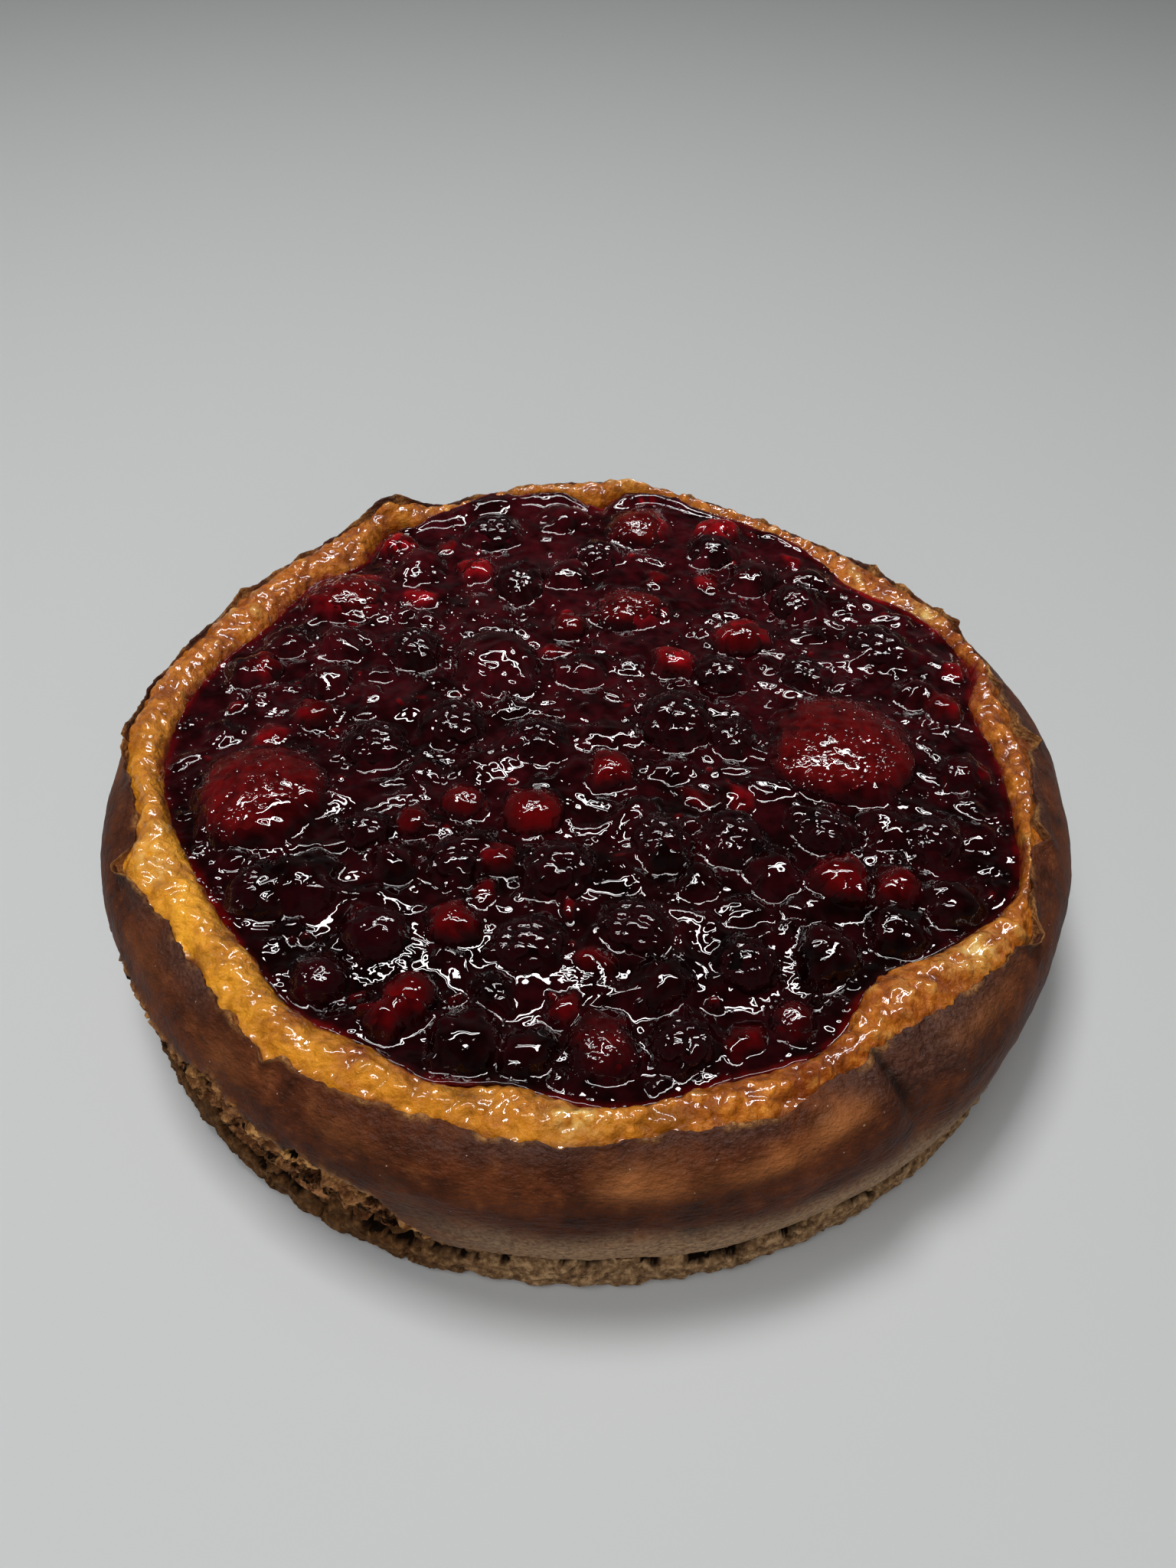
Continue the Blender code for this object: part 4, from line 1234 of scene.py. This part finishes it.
class JellyTop:
    """Upper face of the jelly: a disc of points whose heights and colours fruit can raise and tint."""

    def __init__(self):
        shares, degrees, self.faces, self.edge_start = disc_mesh(JELLY_RINGS)
        turn = np.radians(degrees)
        climb, spread = [np.interp(degrees, *zip(*table)) for table in (JELLY_CLIMB, JELLY_SPREAD)]
        self.ring = polar(JELLY_RING, turn, 0.0)
        edge = around(TOPPING_EDGE, degrees) + 0.35 + spread + 0.5 * NOISE.layers(self.ring, 9.0, 3, 0.6)
        radius = shares * edge
        self.flat = polar(radius, turn, 0.0)
        self.x, self.y = self.flat[:, 0], self.flat[:, 1]
        self.turn = turn
        self.edge = edge
        self.inward = edge - radius
        self.calm = smoothstep(0.0, 4.0, self.inward)
        self.warp_x = self.x + self.calm * (2.3 * NOISE.layers(self.flat + 21.0, 9.0, 3, 0.55))
        self.warp_y = self.y + self.calm * (2.3 * NOISE_TOO.layers(self.flat + 47.0, 9.0, 3, 0.55))
        self.warped = np.stack([self.warp_x, self.warp_y, np.zeros_like(self.x)], axis=-1)
        front = fade(-80.0, -35.0, self.y)
        at_front = front * fade(9.0, 17.0, self.inward)
        self.lively = mix(1.0, 0.55, smoothstep(30.0, 80.0, self.y)) * mix(1.0, 0.5, at_front)
        self.height = self.open_height(climb, spread, front)
        self.tint = np.tile(np.array(linear(*JELLY_TINT)), (len(self.x), 1))
        drupelets = cells(self.warp_x, self.warp_y, 3.1, 8, 0.6)
        self.pimples = 0.75 * fade(0.1, 0.62, drupelets)

    def open_height(self, climb, spread, front):
        """Heights without any fruit: the climb at the back, the dip at the front, edges and folds."""
        flat, inward = self.flat, self.inward
        height = topping_level(self.y) + 0.8 * NOISE.layers(flat, 20.0, 2) - 0.5
        covered = np.maximum(spread, 0.0) + 1.2 + 1.6 * NOISE_TOO(flat + 39.0, 7.0)
        slump = mix(1.6, 7.0, smoothstep(-0.4, 0.5, NOISE(flat + 53.0, 12.0)))
        climbing = 0.5 * fade(0.0, 1.0, (inward - covered) / slump) + 0.38 * fade(0.0, SLOPE_REACH, inward)
        height = height + climb * climbing
        dip = smoothstep(0.0, DIP_DEEPEST, inward) * fade(DIP_DEEPEST, SLOPE_REACH, inward)
        height = height - JELLY_DIP * front * dip
        fall = 0.9 * fade(0.0, 1.3, inward)
        rise = 0.35 * fade(0.0, 2.0, inward)
        height = height + mix(rise, -fall, smoothstep(0.3, 1.0, spread))
        long_folds = crests(self.warped + 13.0, 19.0, NOISE, 0.15)
        long_folds = long_folds * smoothstep(-0.5, 0.3, NOISE_TOO(flat + 57.0, 24.0))
        short_folds = crests(self.warped + 31.0, 11.0, NOISE_TOO, 0.20)
        short_folds = short_folds * smoothstep(-0.1, 0.5, NOISE(flat + 77.0, 20.0))
        return height + (1.1 * long_folds + 0.8 * short_folds) * self.calm * self.lively

    def raise_over(self, place, half, angle, peak, middle, fillet, colour, strength, bumps=0.0):
        """Dome over one fruit, tinted by it, with a fillet round its foot."""
        px, py = place
        half_long, half_wide = half
        reach_mm = half_long + 5.0
        near = np.flatnonzero((np.abs(self.x - px) < reach_mm) & (np.abs(self.y - py) < reach_mm))
        if not len(near):
            return
        dx = self.warp_x[near] - px
        dy = self.warp_y[near] - py
        cosine = math.cos(math.radians(angle))
        sine = math.sin(math.radians(angle))
        rho = np.hypot((dx * cosine + dy * sine) / half_long, (-dx * sine + dy * cosine) / half_wide)
        dome = middle + (peak - middle) * np.sqrt(np.clip(1.0 - rho ** 2, 0.0, 1.0))
        dome = np.where(rho < 1.0, dome, middle - 6.0 * (rho - 1.0))
        dome = dome + bumps * (self.pimples[near] - 0.4)
        self.height[near] = smooth_max(self.height[near], dome, fillet)
        cover = strength * fade(0.45, 1.05, rho)
        self.tint[near] = mix(self.tint[near], np.array(linear(*colour)), cover[:, None])

    def wrinkle(self):
        wrinkles = 0.30 * crests(self.warped + 91.0, 8.0, NOISE, 0.22)
        wrinkles = wrinkles * smoothstep(-0.3, 0.4, NOISE_TOO(self.flat + 17.0, 15.0))
        wrinkles = wrinkles + 0.10 * NOISE_TOO.layers(self.flat, 5.5, 2)
        self.height = self.height + wrinkles * self.calm * self.lively

    def thin_edge_and_lit_back(self):
        """Bright red where the jelly thins out, and a painted reflection: darker at the front, lighter
        towards the back.
        """
        thin = fade(0.2, 2.4 + 1.6 * NOISE(self.flat, 9.0), self.inward)
        thin = thin * (0.25 + 0.75 * smoothstep(-0.2, 0.5, NOISE_TOO(self.ring + 7.0, 24.0)))
        self.tint = mix(self.tint, np.array(linear(*EDGE_TINT)), 0.85 * thin[:, None])
        # Painted reflection: the tint brightens from front to back.
        self.tint = self.tint * mix(0.55, 1.6, smoothstep(-75.0, 85.0, self.y))[:, None]

    def closed(self):
        """Closed mesh with walls under the edge and a flat underside: points, faces and tints."""
        count = len(self.x)
        wall_turn = self.turn[self.edge_start:]
        wall_edge = self.edge[self.edge_start:]
        wall_top = self.height[self.edge_start:]
        points = [np.stack([self.x, self.y, self.height], axis=-1)]
        for inset, drop in ((0.2, 1.2), (0.9, 5.0)):
            points.append(polar(wall_edge - inset, wall_turn, wall_top - drop))
        points.append(np.array([[0.0, 0.0, TOPPING_LEVEL - 7.0]]))
        size = len(wall_edge)
        faces = [self.faces]
        for level in range(2):
            upper = (self.edge_start if level == 0 else count) + np.arange(size)
            lower = count + level * size + np.arange(size)
            upper_next = np.roll(upper, -1)
            faces.append(np.stack([lower, np.roll(lower, -1), upper_next], axis=-1))
            faces.append(np.stack([lower, upper_next, upper], axis=-1))
        faces.append(cap_faces(count + size, size, count + 2 * size, False))
        points = np.concatenate(points)
        extra = np.tile(np.array(linear(*EDGE_TINT)), (len(points) - count, 1))
        return points, np.concatenate(faces), np.concatenate([self.tint, extra])


def make_jelly(material, whole, small, scattered):
    """Jelly surface: it climbs each fruit in fillets, wraps the small fruit and wrinkles all over."""
    top = JellyTop()
    for kind, px, py, half, angle, longer in scattered:
        peak = float(topping_level(py)) + (0.20 if half > 4.0 else 0.28) * half
        fillet = 2.4 if half > 2.0 else 0.5
        bumps = 0.8 if kind == "bramble" and half > 3.0 else 0.0
        reach_mm = (half * longer, half)
        top.raise_over((px, py), reach_mm, angle, peak, peak - half * 0.85, fillet, TINTS[kind], 0.7, bumps)
    chance = random.Random(FILM_SEED)
    for kind, spot, size, angle in small:
        peak = spot[2] + 0.5 * size[2] - (SMALL_FILM[kind] + chance.uniform(-0.45, 0.35))
        bumps = 1.0 if kind == "bramble" else 0.0
        reach_mm = (0.5 * size[0], 0.5 * size[1])
        top.raise_over(spot[:2], reach_mm, angle, peak, spot[2], 2.6, TINTS[kind], 0.8, bumps)
    for _, kind, spot, size, angle in whole:
        peak = spot[2] + 0.5 * size[2] - WHOLE_FILM[kind]
        reach_mm = (0.5 * size[0], 0.5 * size[1])
        top.raise_over(spot[:2], reach_mm, angle, peak, spot[2], 3.2, TINTS[kind], 0.8)
    top.wrinkle()
    top.thin_edge_and_lit_back()
    points, faces, tint = top.closed()
    new_piece("berry_jelly", points, faces, material, "jelly", ["fruit_topping"], {"tint": tint})


def unit_ball(cuts):
    """Points and triangles of an even sphere: each edge of an icosahedron cut into so many parts."""
    shape = bmesh.new()
    bmesh.ops.create_icosphere(shape, subdivisions=1, radius=1.0)
    corners = np.array([vertex.co[:] for vertex in shape.verts])
    sides = [[vertex.index for vertex in face.verts] for face in shape.faces]
    shape.free()
    numbers = {}
    points = []
    faces = []

    def number_of(point):
        key = tuple(np.round(point, 6))
        if key not in numbers:
            numbers[key] = len(points)
            points.append(point)
        return numbers[key]

    for side in sides:
        first, second, third = corners[side]
        across = second - first
        up = third - first
        grid = [
            [number_of(first + across * i / cuts + up * j / cuts) for j in range(cuts + 1 - i)]
            for i in range(cuts + 1)
        ]
        for i in range(cuts):
            for j in range(cuts - i):
                faces.append((grid[i][j], grid[i + 1][j], grid[i][j + 1]))
                if j < cuts - i - 1:
                    faces.append((grid[i + 1][j], grid[i + 1][j + 1], grid[i][j + 1]))
    points = np.array(points)
    return points / np.linalg.norm(points, axis=1, keepdims=True), np.array(faces)


def turned(points, degrees):
    turn = math.radians(degrees)
    matrix = np.array([
        [math.cos(turn), -math.sin(turn), 0.0],
        [math.sin(turn), math.cos(turn), 0.0],
        [0.0, 0.0, 1.0],
    ])
    return points @ matrix.T


def sunk(points):
    """How deep each point lies towards the jelly, from 0 to 1."""
    over = points[:, 2] - topping_level(points[:, 1])
    ragged = 0.9 * NOISE.layers(points, 5.0, 2)
    return fade(0.2, 4.6, over + ragged)


def film_bumps(points, turned_ball, strength):
    """Pushes points out into the wrinkles and pips of the jelly that coats them."""
    wrinkle = 0.30 * ridges(points + 5.0, 4.5) + 0.16 * ridges(points + 9.0, 2.6, NOISE_TOO)
    lumps = 0.28 * NOISE.layers(points + 2.0, 3.4, 2)
    return points + turned_ball * (strength * (wrinkle + lumps - 0.12))[:, None]


def spiral(count):
    """Evenly spread directions on a sphere."""
    number = np.arange(count) + 0.5
    height = 1.0 - 2.0 * number / count
    turn = number * math.pi * (3.0 - math.sqrt(5.0))
    flat = np.sqrt(1.0 - height ** 2)
    return np.stack([flat * np.cos(turn), flat * np.sin(turn), height], axis=-1)


def strawberry_points(ball, spot, size, turn, seed):
    """Tapered, pitted berry under a film of jelly."""
    shape = ball.copy()
    offset = np.array([seed * 13.0, 0.0, 0.0])
    shape[:, 1] *= 1.0 - STRAWBERRY_TAPER * shape[:, 0]
    half = 0.5 * np.array(size)
    nearest = np.max(ball @ spiral(PITS).T, axis=1)
    pits = bell(np.arccos(np.clip(nearest, -1.0, 1.0)) / 0.05)
    swell = 0.035 * NOISE(ball * 2.1 + offset, 1.0) + 0.018 * NOISE_TOO(ball * 6.0 + offset, 1.0)
    swell = swell - 0.014 * pits
    shape = shape * (1.0 + swell - 0.016)[:, None] * half
    points = turned(shape, turn) + np.array(spot)
    over = points[:, 2] - topping_level(points[:, 1])
    return film_bumps(points, turned(ball, turn), mix(0.9, 0.6, smoothstep(2.5, 6.0, over)))


def bramble_points(ball, spot, size, turn, seed, count=DRUPELETS):
    """Oval of drupelets: each is a small dome round one of an even spread of directions."""
    chance = np.random.RandomState(seed)
    heads = spiral(count) + 0.10 * chance.normal(size=(count, 3))
    heads /= np.linalg.norm(heads, axis=1, keepdims=True)
    near = ball @ heads.T
    best = np.argmax(near, axis=1)
    angle = np.arccos(np.clip(near[np.arange(len(ball)), best], -1.0, 1.0))
    wide = 2.15 / math.sqrt(count)
    dome = np.sqrt(np.clip(1.0 - (angle / (wide * 1.12)) ** 2, 0.0, 1.0))
    reach_share = 0.84 + 0.18 * dome * (0.9 + 0.2 * chance.random_sample(count)[best])
    shape = ball * reach_share[:, None] * 0.5 * np.array(size) * 1.01
    return turned(shape, turn) + np.array(spot)


def cherry_points(ball, spot, size, turn, seed):
    """Slightly uneven round fruit under a film of jelly."""
    offset = np.array([seed * 7.0, 3.0, 0.0])
    swell = 1.0 + 0.03 * NOISE(ball * 1.7 + offset, 1.0) + 0.014 * NOISE_TOO(ball * 5.0 + offset, 1.0)
    points = turned(ball * swell[:, None] * 0.5 * np.array(size) * 0.985, turn) + np.array(spot)
    return film_bumps(points, turned(ball, turn), 0.85)


def make_whole_fruit(whole, materials):
    finest = unit_ball(FINEST_CUTS)
    middling = unit_ball(MIDDLING_CUTS)
    little = unit_ball(CHERRY_CUTS)
    for number, (name, kind, spot, size, turn) in enumerate(whole):
        if kind == "strawberry":
            ball, faces = finest if size[0] > LARGE_STRAWBERRY else middling
            points = strawberry_points(ball, spot, size, turn, number)
        elif kind == "cherry":
            ball, faces = little
            points = cherry_points(ball, spot, size, turn, number)
        else:
            ball, faces = middling
            points = bramble_points(ball, spot, size, turn, number)
        look = "cherry_dark" if name.startswith("cherry_dark") else kind
        new_piece(name + "_glazed", points, faces, materials[look], kind, [name], {"sunk": sunk(points)})


def make_small_fruit(small, materials):
    """Currants and small brambles that stand out of the jelly, one piece for each kind."""
    ball, ball_faces = unit_ball(CURRANT_CUTS)
    fine, fine_faces = unit_ball(SMALL_BRAMBLE_CUTS)
    groups = {"red": [], "bramble": []}
    for number, (kind, spot, size, turn) in enumerate(small):
        if kind == "red":
            groups[kind].append((cherry_points(ball, spot, size, turn, number), ball_faces))
        if kind == "bramble":
            points = bramble_points(fine, spot, size, turn, number, SMALL_DRUPELETS)
            groups[kind].append((points, fine_faces))
    for kind, name, look in (("red", "red_currants", "cherry"), ("bramble", "small_brambles", "bramble")):
        points, faces = join(groups[kind])
        new_piece(name, points, faces, materials[look], "jelly", (), {"sunk": sunk(points)})


def make_camera():
    camera = bpy.data.cameras.new("camera")
    camera.lens = LENS
    camera.sensor_width = SENSOR_WIDTH
    camera.sensor_fit = "AUTO"
    camera.clip_start = 0.01
    camera.clip_end = 50.0
    pitch = math.radians(CAMERA_PITCH)
    roll = math.radians(CAMERA_ROLL)
    forward = Vector((0.0, math.cos(pitch), -math.sin(pitch)))
    right = Vector((1.0, 0.0, 0.0))
    up = Vector((0.0, math.sin(pitch), math.cos(pitch)))
    across = math.cos(roll) * right + math.sin(roll) * up
    above = -math.sin(roll) * right + math.cos(roll) * up
    turn = Matrix((across, above, -forward)).transposed().to_4x4()
    thing = bpy.data.objects.new("camera", camera)
    thing.matrix_world = Matrix.Translation(CAMERA_PLACE) @ turn
    bpy.context.scene.collection.objects.link(thing)
    bpy.context.scene.camera = thing


def add_light(name, place, size, glow, colour, mirrored, lit):
    """Rectangular light, with a brightness for each unit of its face."""
    light = bpy.data.lights.new(name, "AREA")
    light.shape = "RECTANGLE"
    light.size, light.size_y = size
    light.energy = glow * math.pi * size[0] * size[1]
    light.color = colour
    thing = bpy.data.objects.new(name, light)
    thing.location = place
    thing.rotation_euler = (Vector(LIGHTS_AIM) - Vector(place)).to_track_quat("-Z", "Y").to_euler()
    thing.visible_glossy = mirrored
    thing.visible_diffuse = lit
    bpy.context.scene.collection.objects.link(thing)


def make_floor():
    mesh = bpy.data.meshes.new("floor")
    corners = [(x * FLOOR_HALF, y * FLOOR_HALF, 0) for x, y in ((-1, -1), (1, -1), (1, 1), (-1, 1))]
    mesh.from_pydata(corners, [], [(0, 1, 2, 3)])
    floor = bpy.data.objects.new("floor", mesh)
    bpy.context.scene.collection.objects.link(floor)
    paint = Finish("pale floor")
    paint.set(Base_Color=FLOOR_COLOUR, Roughness=0.7, Specular_IOR_Level=0.2)
    mesh.materials.append(paint.material)
    floor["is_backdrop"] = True


def make_sky():
    """Grey sky, brighter towards the horizon than overhead."""
    world = bpy.data.worlds.new("studio")
    bpy.context.scene.world = world
    world.use_nodes = True
    tree = world.node_tree
    background = tree.nodes["Background"]
    place = tree.nodes.new("ShaderNodeTexCoord")
    split = tree.nodes.new("ShaderNodeSeparateXYZ")
    ramp = tree.nodes.new("ShaderNodeValToRGB")
    fill_ramp(ramp.color_ramp, SKY_STEPS)
    tree.links.new(place.outputs["Generated"], split.inputs["Vector"])
    tree.links.new(split.outputs["Z"], ramp.inputs["Fac"])
    tree.links.new(ramp.outputs["Color"], background.inputs["Color"])
    background.inputs["Strength"].default_value = 1.0


def make_studio():
    make_floor()
    make_sky()
    for light in LIGHTS:
        add_light(*light)
    bpy.context.scene.view_settings.view_transform = "Standard"


def main():
    whole = list(whole_fruit())
    small = list(small_fruit())
    taken = [(spot, size) for _, _, spot, size, _ in whole] + [(spot, size) for _, spot, size, _ in small]
    scattered = scattered_fruit(taken)
    make_camera()
    make_studio()
    make_base(biscuit_material())
    make_side(skin_material())
    make_rim(rim_material())
    make_jelly(jelly_material(), whole, small, scattered)
    looks = {kind: fruit_material(*look) for kind, look in FRUIT_LOOKS.items()}
    make_whole_fruit(whole, looks)
    make_small_fruit(small, looks)
    boxes = {"cad": CAD_BOX, "visual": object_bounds()}
    {name: [[float(v) for v in corner] for corner in pair] for name, pair in boxes.items()}


main()
